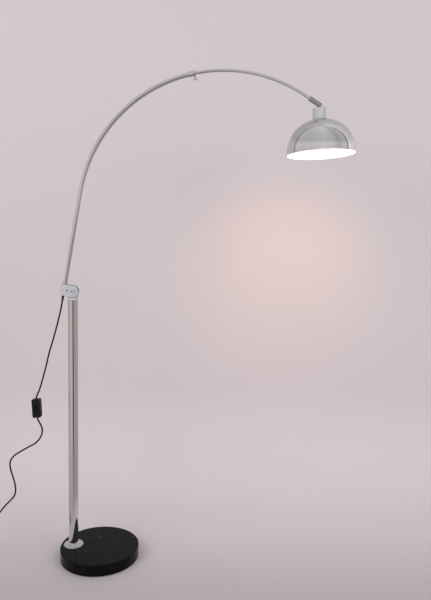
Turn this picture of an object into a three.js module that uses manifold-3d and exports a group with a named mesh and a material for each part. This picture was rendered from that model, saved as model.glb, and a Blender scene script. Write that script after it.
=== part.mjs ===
// Arc floor lamp: a round marble base, a chrome post, a curved telescopic arm that tilts at the
// top of the post, and a domed metal shade that tilts at the arm's tip. A mains cord with an
// inline rocker switch leaves the arm's bracket, hangs to the floor and ends in a coil and a plug.
// Millimetres, +Z up. The origin is the middle of the base, on the floor. +X is the arm's reach.

import * as THREE from "three";
import { mergeVertices } from "three/addons/utils/BufferGeometryUtils.js";
import Module from "manifold-3d";

const wasm = await Module();
wasm.setup();

// ---- clearances ---------------------------------------------------------------------------
const GAP = 0.3; // between pieces that touch
const SLIDE_GAP = 0.35; // between a tube and the ring it slides in
const SCREW_GAP = 0.3; // between a screw and its hole, on the radius

// ---- base ---------------------------------------------------------------------------------
const BASE_RADIUS = 150;
const MARBLE_THICKNESS = 42.7;
const MARBLE_EDGE_ROUND = 3;
const PAD_THICKNESS = 2;
const PAD_INSET = 8; // how far the pad stays inside the marble's rim
const POST_OFFSET = 102; // from the base's centre to the post, away from the arm's reach
const FLANGE_WIDTH = 19; // how far the flange reaches beyond the post
const FLANGE_THICKNESS = 2.6;
const BOLT_RADIUS = 5; // M10 base bolt
const BOLT_HEAD_HEIGHT = 6.4;
const BOLT_HEAD_RADIUS = 9.8;
const BOLT_TIP_INSET = 4; // how far the bolt stays below the foot plug's top
const BASE_WASHER_RADIUS = 15;
const BASE_WASHER_THICKNESS = 2.5;
const COUNTERBORE_DEPTH = 12;
const COUNTERBORE_GAP = 1; // round the washer
const FLANGE_EDGE = 1; // chamfer on the flange's rim
const FLANGE_CONE_HEIGHT = 1.5;
const FLANGE_CONE_WIDTH = 3;
const MARBLE_CHAMFER = 1.5; // on the underside

// ---- post ---------------------------------------------------------------------------------
const POST_RADIUS = 18;
const POST_WALL = 1.2;
const POST_LENGTH = 957;
const FOOT_PLUG_HEIGHT = 30;
const HEAD_PLUG_DEPTH = 34;
const COLLAR_STEP = 2; // how far the head's collar stands out from the post
const COLLAR_HEIGHT = 8;
const COLLAR_CHAMFER = 1.5;
const HEAD_SCREW_RADIUS = 2;
const HEAD_SCREW_REACH = 5; // into the head's plug

// ---- tilting joint at the top of the post -------------------------------------------------
const ARM_LEAN = THREE.MathUtils.degToRad(9.54); // the straight start of the arm, from upright
const TONGUE_THICKNESS = 8;
const TONGUE_RADIUS = 20.5;
const TONGUE_FOOT_HALF = 19.5;
const CHEEK_STEP = 1; // how far the fork's cheeks stand out from the tongue
const CHEEK_THICKNESS = 6.6;
const CHEEK_TO_COLLAR = 2.3;
const FORK_CLEARANCE = 1.7; // between the tongue and the bottom of the fork's slot
const FORK_WALL = 2.7; // between the fork's slot and the arm tube's bore
const FRICTION_WASHER_THICKNESS = 0.8;
const FRICTION_WASHER_RADIUS = 13;
const PIVOT_RADIUS = 4;
const PIVOT_CAP_RADIUS = 9.8;
const PIVOT_CAP_HEIGHT = 4.6;
const PIVOT_SOCKET_RADIUS = 2.9;
const PIVOT_SOCKET_DEPTH = 3.6;
const PIVOT_NUT_HEIGHT = 6;
const SLEEVE_WALL = 3.5; // bracket wall round the arm tube
const TUBE_SEAT_HEIGHT = 10; // of the arm tube's end above the bracket's underside
const TUBE_SCREW_RADIUS = 2;
const TUBE_SCREW_HEIGHT = 4;
const TUBE_SCREW_INSET = 0.2;
const STOP_RADIUS = 2.5;
const STOP_REACH = 19.5; // from the pivot to the stop screw
const STOP_SOCKET_RADIUS = 1.3;
const STOP_SOCKET_DEPTH = 2;
const STOP_FRONT_INSET = 2;
const STOP_BACK_INSET = 1;
const NOTCH_CLEARANCE = 0.6; // between the stop screw and the notch's bottom
const TILT_BACK = THREE.MathUtils.degToRad(8);
const TILT_FORWARD = THREE.MathUtils.degToRad(12);
const STOP_CLEARANCE = THREE.MathUtils.degToRad(1);

// ---- arm ----------------------------------------------------------------------------------
const LOWER_RADIUS = 8;
const LOWER_WALL = 0.8;
const UPPER_RADIUS = 6;
const UPPER_WALL = 0.8;
const ARC_RADIUS = 538.5;
const STRAIGHT_LENGTH = 361.7; // from the pivot's level to where the arc starts
const LOWER_ARC = THREE.MathUtils.degToRad(67.3);
const UPPER_START = THREE.MathUtils.degToRad(54);
const UPPER_END = THREE.MathUtils.degToRad(112.5);
const BUSH_ARC = THREE.MathUtils.degToRad(1.6);
const GLIDE_ARC = THREE.MathUtils.degToRad(1.4);
const TIP_STRAIGHT = 19; // straight end of the upper tube before the tip sleeve
const LEAD_RADIUS = 2.6;
const LEAD_ARC = 0.01;
const LEAD_OVERHANG = 2; // how far the lead reaches out of the lower tube's end

// ---- lock collar on the lower tube --------------------------------------------------------
const COLLAR_WALL = 1.3;
const COLLAR_RING_STEP = 1.7; // how far the collar's ring stands out from its sleeve
const COLLAR_COVER = 18; // how far the collar reaches back over the lower tube
const COLLAR_RING_LENGTH = 9;
const COLLAR_EDGE = 0.8;
const COLLAR_CURVE_GAP = 0.15; // extra room, because the tube is slightly curved in the collar
const COLLAR_UPPER_GAP = 0.6; // round the upper tube
const THUMB_RADIUS = 2.5; // M5
const THUMB_HEAD_RADIUS = 6.3;
const THUMB_HEAD_LENGTH = 9;
const THUMB_NECK_LENGTH = 3;
const THUMB_NECK_STEP = 1.2; // how far the neck stands out from the thread
const THUMB_RIBS = 16;
const THUMB_RIB_DEPTH = 0.5;

// ---- tip sleeve and lamp head -------------------------------------------------------------
const TIP_SLEEVE_WALL = 2.7;
const TIP_SLEEVE_EDGE = 0.8;
const SLEEVE_LENGTH = 51.5;
const SLEEVE_INSERT = 20; // how far the upper tube goes in
const KNUCKLE_INSET = 5.5; // from the sleeve's end to the knuckle pin
const KNUCKLE_TONGUE_THICKNESS = 6;
const KNUCKLE_SIDE_GAP = 0.5;
const KNUCKLE_PIN_RADIUS = 2;
const KNUCKLE_PIN_INSET = 0.6; // of the pin's ends in the sleeve
const KNUCKLE_EYE_RADIUS = 7;
const KNUCKLE_EYE_GAP = 1.2; // between the eye and the slot's bottom
const KNUCKLE_NECK_WIDTH = 9;
const TIP_SCREW_RADIUS = 1.5;
const TIP_SCREW_INSET = 0.3;
const HEAD_LEAN = THREE.MathUtils.degToRad(-3.4); // the shade's axis, from upright
const CUP_DROP = 11.7; // from the knuckle pin to the cup's top
const CUP_HEIGHT = 39;
const CUP_WALL = 1;
const CUP_ROUND = 4;
const CUP_CLEARANCE = 4; // round the lampholder's shoulder
const CUP_NUT_RADIUS = 9;
const CUP_NUT_HEIGHT = 4.5;
const CUP_NUT_RECESS = 2.2; // of the knuckle's neck into the nut
const NIPPLE_RADIUS = 5; // M10 hollow stem
const NIPPLE_BORE_RADIUS = 2;
const NIPPLE_DEPTH = 22; // below the cup's top
const NIPPLE_BORE_DEPTH = 8; // below the cup's top, where its bore starts
const SHADE_RADIUS = 125;
const SHADE_SKIRT = 14; // upright part of the shade above its rim
const SHADE_RISE = 113.5; // from the skirt to the top of the dome
const SHADE_WALL = 0.8;
const SHADE_UNDER_CUP = 0.4; // between the cup's lip and the dome
const SHADE_HOLE_GAP = 0.6;
const SHADE_RING_WIDTH = 6.5;
const SHADE_RING_HEIGHT = 6;
const HOLDER_RADIUS = 19.5;
const HOLDER_LENGTH = 66;
const HOLDER_DROP = 10; // from the cup's top to the lampholder's
const HOLDER_SHOULDER = 3.6; // height of the shoulder that rests on the shade
const HOLDER_SHOULDER_WIDTH = 3.4;
const HOLDER_TAPER = 3; // of the lampholder's upper part
const HOLDER_NECK_STEP = 2;
const HOLDER_LEAD_RADIUS = 3;
const HOLDER_BORE_RADIUS = 13.6; // E27
const HOLDER_BORE_DEPTH = 33;
const CONTACT_RADIUS = 6;
const CONTACT_THICKNESS = 1;
const CAP_CLEARANCE = 0.6; // between the bulb's cap and the lampholder's bore
const CAP_TIP_RADIUS = 5;
const CAP_TIP_HEIGHT = 5;
const CAP_END_THICKNESS = 3;
const CAP_WALL = 1.2;
const BULB_CAP_HEIGHT = 25;
const BULB_RADIUS = 30;
const BULB_LENGTH = 78; // glass below the cap
const BULB_WALL = 0.8;
const BULB_IN_CAP = 4; // how far the glass reaches into its cap
const BULB_SHOULDER_DROP = 16; // from the cap to the globe's upper edge
const BULB_SHOULDER_STEP = 6;

// ---- cord, switch and plug ----------------------------------------------------------------
const CORD_RADIUS = 3;
const CORD_SIDES = 8;
const CORD_STEP = 17;
const GLAND_LENGTH = 22;
const GLAND_TIP_WALL = 0.5;
const GLAND_ROOT_WALL = 1.8;
const GLAND_FLANGE_WALL = 3.2;
const GLAND_FLANGE_THICKNESS = 1.6;
const GLAND_STEM_STEP = 2; // from the flange's rim in to the stem
const GLAND_STEM_INSET = 3; // how far the stem stays below the arm tube
const SWITCH_LENGTH = 71;
const SWITCH_WIDTH = 32;
const SWITCH_DEPTH = 20;
const SWITCH_WALL = 2.2;
const SWITCH_CHAMFER = 3.5;
const SWITCH_SIDE_SOLID = 8; // shell left solid beside the pocket, for the screws
const SWITCH_END_SOLID = 22; // shell left solid at the pocket's two ends
const SWITCH_SCREW_RADIUS = 1.5;
const SWITCH_SCREW_HEAD_RADIUS = 2.8;
const SWITCH_SCREW_HEAD_DEPTH = 2.5;
const SWITCH_SCREW_END_INSET = 12;
const SWITCH_SCREW_SIDE_INSET = 6.5;
const SWITCH_LEAN = THREE.MathUtils.degToRad(-3.6);
const SWITCH_AT = [-238.5, -7, 587.5];
const ROCKER_LENGTH = 21;
const ROCKER_WIDTH = 11;
const ROCKER_ANGLE = THREE.MathUtils.degToRad(7);
const ROCKER_PIVOT_DEPTH = 4; // behind the switch's front face
const ROCKER_FACE = 5.2; // from the pivot to the rocker's two ends
const ROCKER_WAIST = 4.6; // from the pivot to the middle of the rocker's face
const ROCKER_ROUND = 4.4; // of its underside
const COIL_AT = [-432, -75];
const COIL_INNER_RADIUS = 25;
const COIL_TURNS_ACROSS = 3;
const COIL_FLOOR_GAP = 0.1;
const COIL_ROUND = 1.5;
const PLUG_AT = [-432.4, -139]; // where the cord meets the plug's strain relief
const PLUG_RELIEF_LENGTH = 25;
const PLUG_LENGTH = 36;
const PLUG_WIDTH = 35;
const PLUG_THICKNESS = 13.8;
const PLUG_SHOULDER = 12; // length of the plug's tapered shoulders
const PLUG_NECK_HALF = 7;
const PLUG_BEVEL = 2.4;
const PLUG_RELIEF_WALL = 2.4;
const PIN_RADIUS = 2;
const PIN_LENGTH = 19;
const PIN_SPACING = 19;
const PIN_EMBED = 8;

// Route of the cord where it isn't coiled: bracket to switch, switch to coil, coil to plug.
const UPPER_CORD = [
  [-142.35, 0, 994.7],
  [-146.8, 0, 970],
  [-160, -1, 912],
  [-176, -2, 853],
  [-191, -3, 802],
  [-205, -4, 742],
  [-222.5, -5, 678],
  [-231, -6, 651],
  [-238.6, -7, 634.5],
  [-240.45, -7, 618.5],
];
const LOWER_CORD = [
  [-236.55, -7, 556.6],
  [-235.4, -7, 543.5],
  [-226, -7, 525.5],
  [-218.8, -7, 504],
  [-224, -7, 477],
  [-243, -7, 452],
  [-272, -7, 434],
  [-303, -7, 415.5],
  [-329, -7, 397],
  [-342.5, -7, 374],
  [-342, -7, 348],
  [-333.5, -7, 317],
  [-325.5, -7, 286],
  [-323.3, -7, 261],
  [-329, -7, 239],
  [-347, -7, 218],
  [-366, -8, 197],
  [-384, -8, 174],
  [-412, -9, 142],
  [-439, -11, 106],
  [-460, -15, 66],
  [-472, -24, 34],
  [-477.5, -38, 17.5],
  [-478.5, -56, 11],
  [-478.5, -74, 9.5],
];
const TAIL_CORD = [
  [-472.3, -98.3, 3.2],
  [-465.5, -110, 3.3],
  [-456.9, -125, 4.4],
  [-446.7, -135.2, 5.9],
  [-438.5, -138.4, 6.8],
  [-433.1, -139, 7],
];

// ---- finishes -----------------------------------------------------------------------------
const finish = (color, roughness, metalness) => () =>
  new THREE.MeshStandardMaterial({ color, roughness, metalness });
const chrome = finish(0xc8c8cc, 0.08, 1);
const dieCast = finish(0xb4b7bc, 0.38, 0.9);
const steel = finish(0x9a9a9c, 0.35, 1);
const brass = finish(0xc9a24d, 0.3, 1);
const marble = finish(0x17171a, 0.18, 0);
const foam = finish(0x1c1c1c, 0.95, 0);
const nylon = finish(0xe6e4de, 0.5, 0);
const blackPlastic = finish(0x111113, 0.45, 0);
const blackRubber = finish(0x0d0d0e, 0.55, 0);
const porcelain = finish(0xf2f0ea, 0.3, 0);
const opalGlass = finish(0xfff6e4, 0.2, 0);

// ---- helpers ------------------------------------------------------------------------------

// A closed geometry as a manifold solid, with its shared vertices merged.
function solidOf(geometry) {
  const bare = geometry.clone();
  bare.deleteAttribute("normal");
  bare.deleteAttribute("uv");
  const merged = mergeVertices(bare, 1e-4);
  const faces = [];
  for (let i = 0; i < merged.index.count; i += 3) {
    const [a, b, c] = [0, 1, 2].map((corner) => merged.index.getX(i + corner));
    if (a !== b && b !== c && c !== a) faces.push(a, b, c);
  }
  return new wasm.Manifold(
    new wasm.Mesh({
      numProp: 3,
      vertProperties: merged.attributes.position.array,
      triVerts: new Uint32Array(faces),
    }),
  );
}

// A manifold solid back as a geometry.
function geometryOf(solid) {
  const mesh = solid.getMesh();
  const geometry = new THREE.BufferGeometry();
  geometry.setAttribute("position", new THREE.BufferAttribute(mesh.vertProperties, 3));
  geometry.setIndex(new THREE.BufferAttribute(mesh.triVerts, 1));
  return geometry;
}

function cut(geometry, ...tools) {
  const left = tools.reduce((body, tool) => body.subtract(solidOf(tool)), solidOf(geometry));
  return geometryOf(left);
}

function join(...geometries) {
  return geometryOf(geometries.map(solidOf).reduce((all, next) => all.add(next)));
}

// A profile of [radius, height] points, from low to high on its outer side, turned round Z.
function turned(profile, segments = 28) {
  const points = profile.map(([radius, height]) => new THREE.Vector2(radius, height));
  return new THREE.LatheGeometry(points, segments).rotateX(Math.PI / 2);
}

// A ring of rectangular section round Z.
function ring(inner, outer, low, high, segments = 28) {
  const profile = [
    [inner, low],
    [outer, low],
    [outer, high],
    [inner, high],
    [inner, low],
  ];
  return turned(profile, segments);
}

// A round bar along Z, from low to high. Its corners lie on the radius.
function bar(radius, low, high, segments = 20) {
  return new THREE.CylinderGeometry(radius, radius, high - low, segments)
    .rotateX(Math.PI / 2)
    .translate(0, 0, (low + high) / 2);
}

// A round bar along Y, from front to back.
function crossBar(radius, front, back, segments = 20) {
  return bar(radius, front, back, segments).rotateX(-Math.PI / 2);
}

function block(width, depth, height, x, y, z) {
  return new THREE.BoxGeometry(width, depth, height).translate(x, y, z);
}

// A closed outline through corner points.
const outline = (points) => new THREE.Shape(points.map(([x, y]) => new THREE.Vector2(x, y)));

// An outline in X and Z, given as a shape in X and Y, made into a plate from front to back.
function plate(shape, front, back, curveSegments = 12) {
  return new THREE.ExtrudeGeometry(shape, {
    depth: back - front,
    bevelEnabled: false,
    curveSegments,
  })
    .rotateX(Math.PI / 2)
    .translate(0, back, 0);
}

// A tube or a solid bar that follows a path.
function swept(path, outer, inner, steps, sides) {
  const section = new THREE.Shape();
  section.absarc(0, 0, outer, 0, 2 * Math.PI);
  if (inner > 0) {
    const hole = new THREE.Path();
    hole.absarc(0, 0, inner, 0, 2 * Math.PI, true);
    section.holes.push(hole);
  }
  return new THREE.ExtrudeGeometry(section, {
    steps,
    curveSegments: sides / 2, // a full circle gets two points for each
    extrudePath: path,
  });
}

// Quarter circle of [radius, height] points about a centre, from one angle to another.
function arcPoints(centreRadius, centreHeight, round, from, to, count) {
  return Array.from({ length: count + 1 }, (_, i) => {
    const angle = from + ((to - from) * i) / count;
    return [centreRadius + round * Math.cos(angle), centreHeight + round * Math.sin(angle)];
  });
}

const lamp = new THREE.Group();

// Adds a named mesh to a group.
function add(group, name, geometry, material) {
  const mesh = new THREE.Mesh(geometry, material());
  mesh.name = name;
  group.add(mesh);
  return mesh;
}

function frameAt(parent, x, y, z, turnY = 0) {
  const group = new THREE.Group();
  group.position.set(x, y, z);
  group.rotation.y = turnY;
  parent.add(group);
  return group;
}

// ---- base: pad, marble disc, flange and the bolt that holds the post -----------------------
const marbleLow = PAD_THICKNESS + GAP;
const marbleTop = marbleLow + MARBLE_THICKNESS;
const counterboreRoof = marbleLow + COUNTERBORE_DEPTH;
const post = frameAt(lamp, -POST_OFFSET, 0, 0);

add(lamp, "base_pad", bar(BASE_RADIUS - PAD_INSET, 0, PAD_THICKNESS, 48), foam);

const marbleProfile = [
  [0, marbleLow],
  [BASE_RADIUS - MARBLE_CHAMFER, marbleLow],
  [BASE_RADIUS, marbleLow + MARBLE_CHAMFER],
  ...arcPoints(
    BASE_RADIUS - MARBLE_EDGE_ROUND,
    marbleTop - MARBLE_EDGE_ROUND,
    MARBLE_EDGE_ROUND,
    0,
    Math.PI / 2,
    4,
  ),
  [0, marbleTop],
];
const boltHole = bar(BOLT_RADIUS + SCREW_GAP, 0, marbleTop + 1, 24);
const counterbore = bar(BASE_WASHER_RADIUS + COUNTERBORE_GAP, 0, counterboreRoof, 32);
add(
  lamp,
  "base_marble",
  cut(
    turned(marbleProfile, 48),
    boltHole.clone().translate(-POST_OFFSET, 0, 0),
    counterbore.clone().translate(-POST_OFFSET, 0, 0),
  ),
  marble,
);

const postLow = marbleTop + GAP;
const flangeTop = postLow + FLANGE_THICKNESS;
const flangeRadius = POST_RADIUS + FLANGE_WIDTH;
const flangeProfile = [
  [POST_RADIUS + SLIDE_GAP, postLow],
  [flangeRadius, postLow],
  [flangeRadius, flangeTop - FLANGE_EDGE],
  [flangeRadius - FLANGE_EDGE, flangeTop],
  [POST_RADIUS + FLANGE_CONE_WIDTH, flangeTop],
  [POST_RADIUS + SLIDE_GAP, flangeTop + FLANGE_CONE_HEIGHT],
  [POST_RADIUS + SLIDE_GAP, postLow],
];
add(post, "base_flange", turned(flangeProfile), chrome);

const washerLow = counterboreRoof - GAP - BASE_WASHER_THICKNESS;
add(
  post,
  "base_washer",
  ring(BOLT_RADIUS + SCREW_GAP, BASE_WASHER_RADIUS, washerLow, counterboreRoof - GAP, 24),
  steel,
);
const boltHeadTop = washerLow - GAP;
const boltTop = postLow + FOOT_PLUG_HEIGHT - BOLT_TIP_INSET;
add(
  post,
  "base_bolt",
  join(
    bar(BOLT_HEAD_RADIUS, boltHeadTop - BOLT_HEAD_HEIGHT, boltHeadTop, 6),
    bar(BOLT_RADIUS, boltHeadTop - 1, boltTop, 24),
  ),
  steel,
);

// ---- post: foot plug, tube and head --------------------------------------------------------
const postTop = postLow + POST_LENGTH;
const plugRadius = POST_RADIUS - POST_WALL - GAP;
const collarLow = postTop + GAP;
const collarTop = collarLow + COLLAR_HEIGHT;
const collarRadius = POST_RADIUS + COLLAR_STEP;
const cheekRadius = TONGUE_RADIUS + CHEEK_STEP;
const collarToPivot = cheekRadius + CHEEK_TO_COLLAR;
const pivotHeight = collarTop + collarToPivot;

add(
  post,
  "post_foot_plug",
  ring(BOLT_RADIUS + SCREW_GAP, plugRadius, postLow, postLow + FOOT_PLUG_HEIGHT, 24),
  steel,
);
add(post, "post_tube", ring(POST_RADIUS - POST_WALL, POST_RADIUS, postLow, postTop), chrome);

const headProfile = [
  [0, postTop - HEAD_PLUG_DEPTH],
  [plugRadius, postTop - HEAD_PLUG_DEPTH],
  [plugRadius, collarLow],
  [collarRadius, collarLow],
  [collarRadius, collarTop - COLLAR_CHAMFER],
  [collarRadius - COLLAR_CHAMFER, collarTop],
  [0, collarTop],
];
const tongueShape = new THREE.Shape();
tongueShape.moveTo(-TONGUE_FOOT_HALF, -collarToPivot - 2);
tongueShape.lineTo(TONGUE_FOOT_HALF, -collarToPivot - 2);
tongueShape.lineTo(TONGUE_RADIUS, 0);
tongueShape.absarc(0, 0, TONGUE_RADIUS, 0, Math.PI);
tongueShape.closePath();

// The stop screw runs in a notch in the tongue's left edge, whose ends limit the tilt. A turn
// about +Y takes the left side up, so the notch is drawn clockwise from straight left.
const stopHalf = Math.asin(STOP_RADIUS / STOP_REACH) + STOP_CLEARANCE;
const notchHigh = Math.PI - ARM_LEAN - TILT_FORWARD - stopHalf;
const notchLow = Math.PI - ARM_LEAN + TILT_BACK + stopHalf;
const notchDepth = STOP_REACH - STOP_RADIUS - NOTCH_CLEARANCE;
const notchShape = new THREE.Shape();
notchShape.absarc(0, 0, TONGUE_RADIUS + 6, notchHigh, notchLow);
notchShape.absarc(0, 0, notchDepth, notchLow, notchHigh, true);
notchShape.closePath();

const tongueHalf = TONGUE_THICKNESS / 2;
const atPivot = (geometry) => geometry.translate(0, 0, pivotHeight);
add(
  post,
  "post_head",
  cut(
    join(turned(headProfile), atPivot(plate(tongueShape, -tongueHalf, tongueHalf))),
    atPivot(plate(notchShape, -tongueHalf - 1, tongueHalf + 1)),
    atPivot(crossBar(PIVOT_RADIUS + SCREW_GAP, -tongueHalf - 1, tongueHalf + 1)),
  ),
  dieCast,
);

const washerInner = tongueHalf + GAP;
const washerOuter = washerInner + FRICTION_WASHER_THICKNESS;
const frictionWasher = ring(
  PIVOT_RADIUS + SCREW_GAP,
  FRICTION_WASHER_RADIUS,
  washerInner,
  washerOuter,
  24,
).rotateX(Math.PI / 2);
for (const [side, turn] of [
  ["front", 0],
  ["rear", Math.PI],
]) {
  const washer = frictionWasher.clone().rotateZ(turn);
  add(post, "friction_washer_" + side, atPivot(washer), nylon);
}

// A grub screw at the back goes through the tube into the head's plug.
const headScrew = (radius, from, to) =>
  bar(radius, from, to, 12)
    .rotateX(-Math.PI / 2)
    .translate(0, 0, postTop - HEAD_PLUG_DEPTH / 2);
const headScrewTip = plugRadius - HEAD_SCREW_REACH;
add(
  post,
  "head_grub_screw",
  headScrew(HEAD_SCREW_RADIUS, headScrewTip, POST_RADIUS + 1),
  steel,
);
for (const name of ["post_head", "post_tube"]) {
  const mesh = post.getObjectByName(name);
  const hole = headScrew(HEAD_SCREW_RADIUS + SCREW_GAP, headScrewTip - 1, POST_RADIUS + 2);
  mesh.geometry = cut(mesh.geometry, hole);
}

// ---- arm: everything below turns with the bracket about the pivot --------------------------
const arm = frameAt(lamp, -POST_OFFSET, 0, pivotHeight, ARM_LEAN);
const cheekInner = washerOuter + GAP;
const cheekOuter = cheekInner + CHEEK_THICKNESS;
const sleeveHalf = LOWER_RADIUS + SLEEVE_WALL;
const forkDepth = TONGUE_RADIUS + FORK_CLEARANCE; // from the pivot to the slot's bottom
const armOffset = forkDepth + FORK_WALL + LOWER_RADIUS + GAP; // from the pivot to the arm
const bracketLeft = -armOffset - sleeveHalf;
const tubeSeat = -cheekRadius + TUBE_SEAT_HEIGHT;

const bracketShape = new THREE.Shape();
bracketShape.moveTo(bracketLeft, cheekRadius);
bracketShape.lineTo(bracketLeft, -cheekRadius);
bracketShape.lineTo(0, -cheekRadius);
bracketShape.absarc(0, 0, cheekRadius, -Math.PI / 2, Math.PI / 2);
bracketShape.closePath();
const forkWidth = cheekRadius + forkDepth + 2;
const tubeBore = bar(LOWER_RADIUS + GAP, tubeSeat - GAP, cheekRadius + 1);
const glandFlange = CORD_RADIUS + GLAND_FLANGE_WALL;
const glandStem = glandFlange - GLAND_STEM_STEP;
const glandBore = bar(glandStem + GAP, -cheekRadius - 1, tubeSeat + 1);
const grubHole = bar(TUBE_SCREW_RADIUS + SCREW_GAP, 0, sleeveHalf + 1, 12).rotateY(
  -Math.PI / 2,
);
add(
  arm,
  "arm_bracket",
  cut(
    plate(bracketShape, -cheekOuter, cheekOuter),
    block(forkWidth, 2 * cheekInner, 3 * cheekRadius, forkWidth / 2 - forkDepth, 0, 0),
    tubeBore.translate(-armOffset, 0, 0),
    glandBore.translate(-armOffset, 0, 0),
    crossBar(PIVOT_RADIUS + SCREW_GAP, -cheekOuter - 1, cheekOuter + 1),
    crossBar(STOP_RADIUS + SCREW_GAP, -cheekOuter - 1, cheekOuter + 1).translate(
      -STOP_REACH,
      0,
      0,
    ),
    grubHole.translate(-armOffset, 0, TUBE_SCREW_HEIGHT),
  ),
  dieCast,
);

// The pivot bolt's round cap is at the front, with a hexagon socket, and its nut is at the back.
const capFront = -cheekOuter - GAP - PIVOT_CAP_HEIGHT;
const nutBack = cheekOuter + GAP + PIVOT_NUT_HEIGHT;
add(
  arm,
  "pivot_bolt",
  cut(
    join(
      crossBar(PIVOT_CAP_RADIUS, capFront, -cheekOuter - GAP, 28),
      crossBar(PIVOT_RADIUS, -cheekOuter - 1, nutBack - 1),
    ),
    crossBar(PIVOT_SOCKET_RADIUS, capFront - 1, capFront + PIVOT_SOCKET_DEPTH, 6),
  ),
  dieCast,
);
add(
  arm,
  "pivot_nut",
  cut(
    crossBar(PIVOT_CAP_RADIUS, cheekOuter + GAP, nutBack, 6),
    crossBar(PIVOT_RADIUS + SCREW_GAP, cheekOuter, nutBack + 1),
  ),
  steel,
);
const stopFront = -cheekOuter + STOP_FRONT_INSET;
add(
  arm,
  "stop_screw",
  cut(
    crossBar(STOP_RADIUS, stopFront, cheekOuter - STOP_BACK_INSET, 20),
    crossBar(STOP_SOCKET_RADIUS, stopFront - 1, stopFront + STOP_SOCKET_DEPTH, 6),
  ).translate(-STOP_REACH, 0, 0),
  steel,
);
const tubeScrewInner = LOWER_RADIUS + GAP + TUBE_SCREW_INSET;
add(
  arm,
  "tube_grub_screw",
  bar(TUBE_SCREW_RADIUS, tubeScrewInner, sleeveHalf - TUBE_SCREW_INSET, 12)
    .rotateY(-Math.PI / 2)
    .translate(-armOffset, 0, TUBE_SCREW_HEIGHT),
  steel,
);

// The gland's stem sits in the bracket, and its tapered tail holds the cord.
const glandSeat = -cheekRadius - GAP;
const glandFlangeLow = glandSeat - GLAND_FLANGE_THICKNESS;
const glandTip = glandFlangeLow - GLAND_LENGTH;
const glandProfile = [
  [0, glandTip],
  [CORD_RADIUS + GLAND_TIP_WALL, glandTip],
  [CORD_RADIUS + GLAND_ROOT_WALL, glandFlangeLow],
  [glandFlange, glandFlangeLow],
  [glandFlange, glandSeat],
  [glandStem, glandSeat],
  [glandStem, tubeSeat - GLAND_STEM_INSET],
  [0, tubeSeat - GLAND_STEM_INSET],
];
add(arm, "cord_gland", turned(glandProfile, 24).translate(-armOffset, 0, 0), blackRubber);

// ---- lower arm tube, its bush and the lead inside ------------------------------------------

// A point on the arm's arc, at an angle from where the arc starts, in the arm's frame.
const arcCentre = ARC_RADIUS - armOffset;
const onArc = (angle) =>
  new THREE.Vector3(
    arcCentre - ARC_RADIUS * Math.cos(angle),
    0,
    STRAIGHT_LENGTH + ARC_RADIUS * Math.sin(angle),
  );

// The arm's centre line between two angles, with an optional straight start or end.
class ArmLine extends THREE.Curve {
  constructor(from, to, startLength = 0, endLength = 0) {
    super();
    this.from = from;
    this.to = to;
    this.startLength = startLength;
    this.endLength = endLength;
    this.arcLength = ARC_RADIUS * (to - from);
  }

  getPoint(t, target = new THREE.Vector3()) {
    const along = t * (this.startLength + this.arcLength + this.endLength) - this.startLength;
    const onArcPart = THREE.MathUtils.clamp(along, 0, this.arcLength);
    const angle = this.from + onArcPart / ARC_RADIUS;
    const past = along - onArcPart;
    const tangent = new THREE.Vector3(Math.sin(angle), 0, Math.cos(angle));
    return target.copy(onArc(angle)).addScaledVector(tangent, past);
  }
}

const LOWER_STEPS = 36;
const UPPER_STEPS = 23;
const TUBE_SIDES = 12;
const lowerLine = new ArmLine(0, LOWER_ARC, STRAIGHT_LENGTH - tubeSeat);
add(
  arm,
  "lower_arm_tube",
  swept(lowerLine, LOWER_RADIUS, LOWER_RADIUS - LOWER_WALL, LOWER_STEPS, TUBE_SIDES),
  chrome,
);
const bushOuter = LOWER_RADIUS - LOWER_WALL - SLIDE_GAP;
const bushInner = UPPER_RADIUS + SLIDE_GAP;
const bushLine = new ArmLine(LOWER_ARC - BUSH_ARC, LOWER_ARC);
add(arm, "slide_bush", swept(bushLine, bushOuter, bushInner, 2, TUBE_SIDES), nylon);
const lowerLeadLine = new ArmLine(0, LEAD_ARC, STRAIGHT_LENGTH - tubeSeat + LEAD_OVERHANG);
add(arm, "lower_lead", swept(lowerLeadLine, LEAD_RADIUS, 0, 4, CORD_SIDES), blackRubber);

// ---- lock collar and thumb screw at the lower tube's end -----------------------------------
const collarEnd = onArc(LOWER_ARC);
const collar = frameAt(arm, collarEnd.x, 0, collarEnd.z, LOWER_ARC);
const collarBore = LOWER_RADIUS + SLIDE_GAP + COLLAR_CURVE_GAP;
const collarSleeve = collarBore + COLLAR_WALL;
const collarRing = collarSleeve + COLLAR_RING_STEP;
const collarFront = COLLAR_RING_LENGTH + COLLAR_EDGE;
const screwAt = (collarFront + GAP) / 2;
const collarProfile = [
  [collarBore, -COLLAR_COVER],
  [collarSleeve - COLLAR_EDGE, -COLLAR_COVER],
  [collarSleeve, -COLLAR_COVER + COLLAR_EDGE],
  [collarSleeve, 0],
  [collarRing, COLLAR_EDGE],
  [collarRing, COLLAR_RING_LENGTH],
  [collarRing - COLLAR_EDGE, collarFront],
  [UPPER_RADIUS + COLLAR_UPPER_GAP, collarFront],
  [UPPER_RADIUS + COLLAR_UPPER_GAP, GAP],
  [collarBore, GAP],
  [collarBore, -COLLAR_COVER],
];
const acrossCollar = (geometry) => geometry.rotateY(Math.PI / 2).translate(0, 0, screwAt);
add(
  collar,
  "lock_collar",
  cut(
    turned(collarProfile),
    acrossCollar(bar(THUMB_RADIUS + SCREW_GAP, UPPER_RADIUS, collarRing + 1, 20)),
  ),
  chrome,
);

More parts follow.
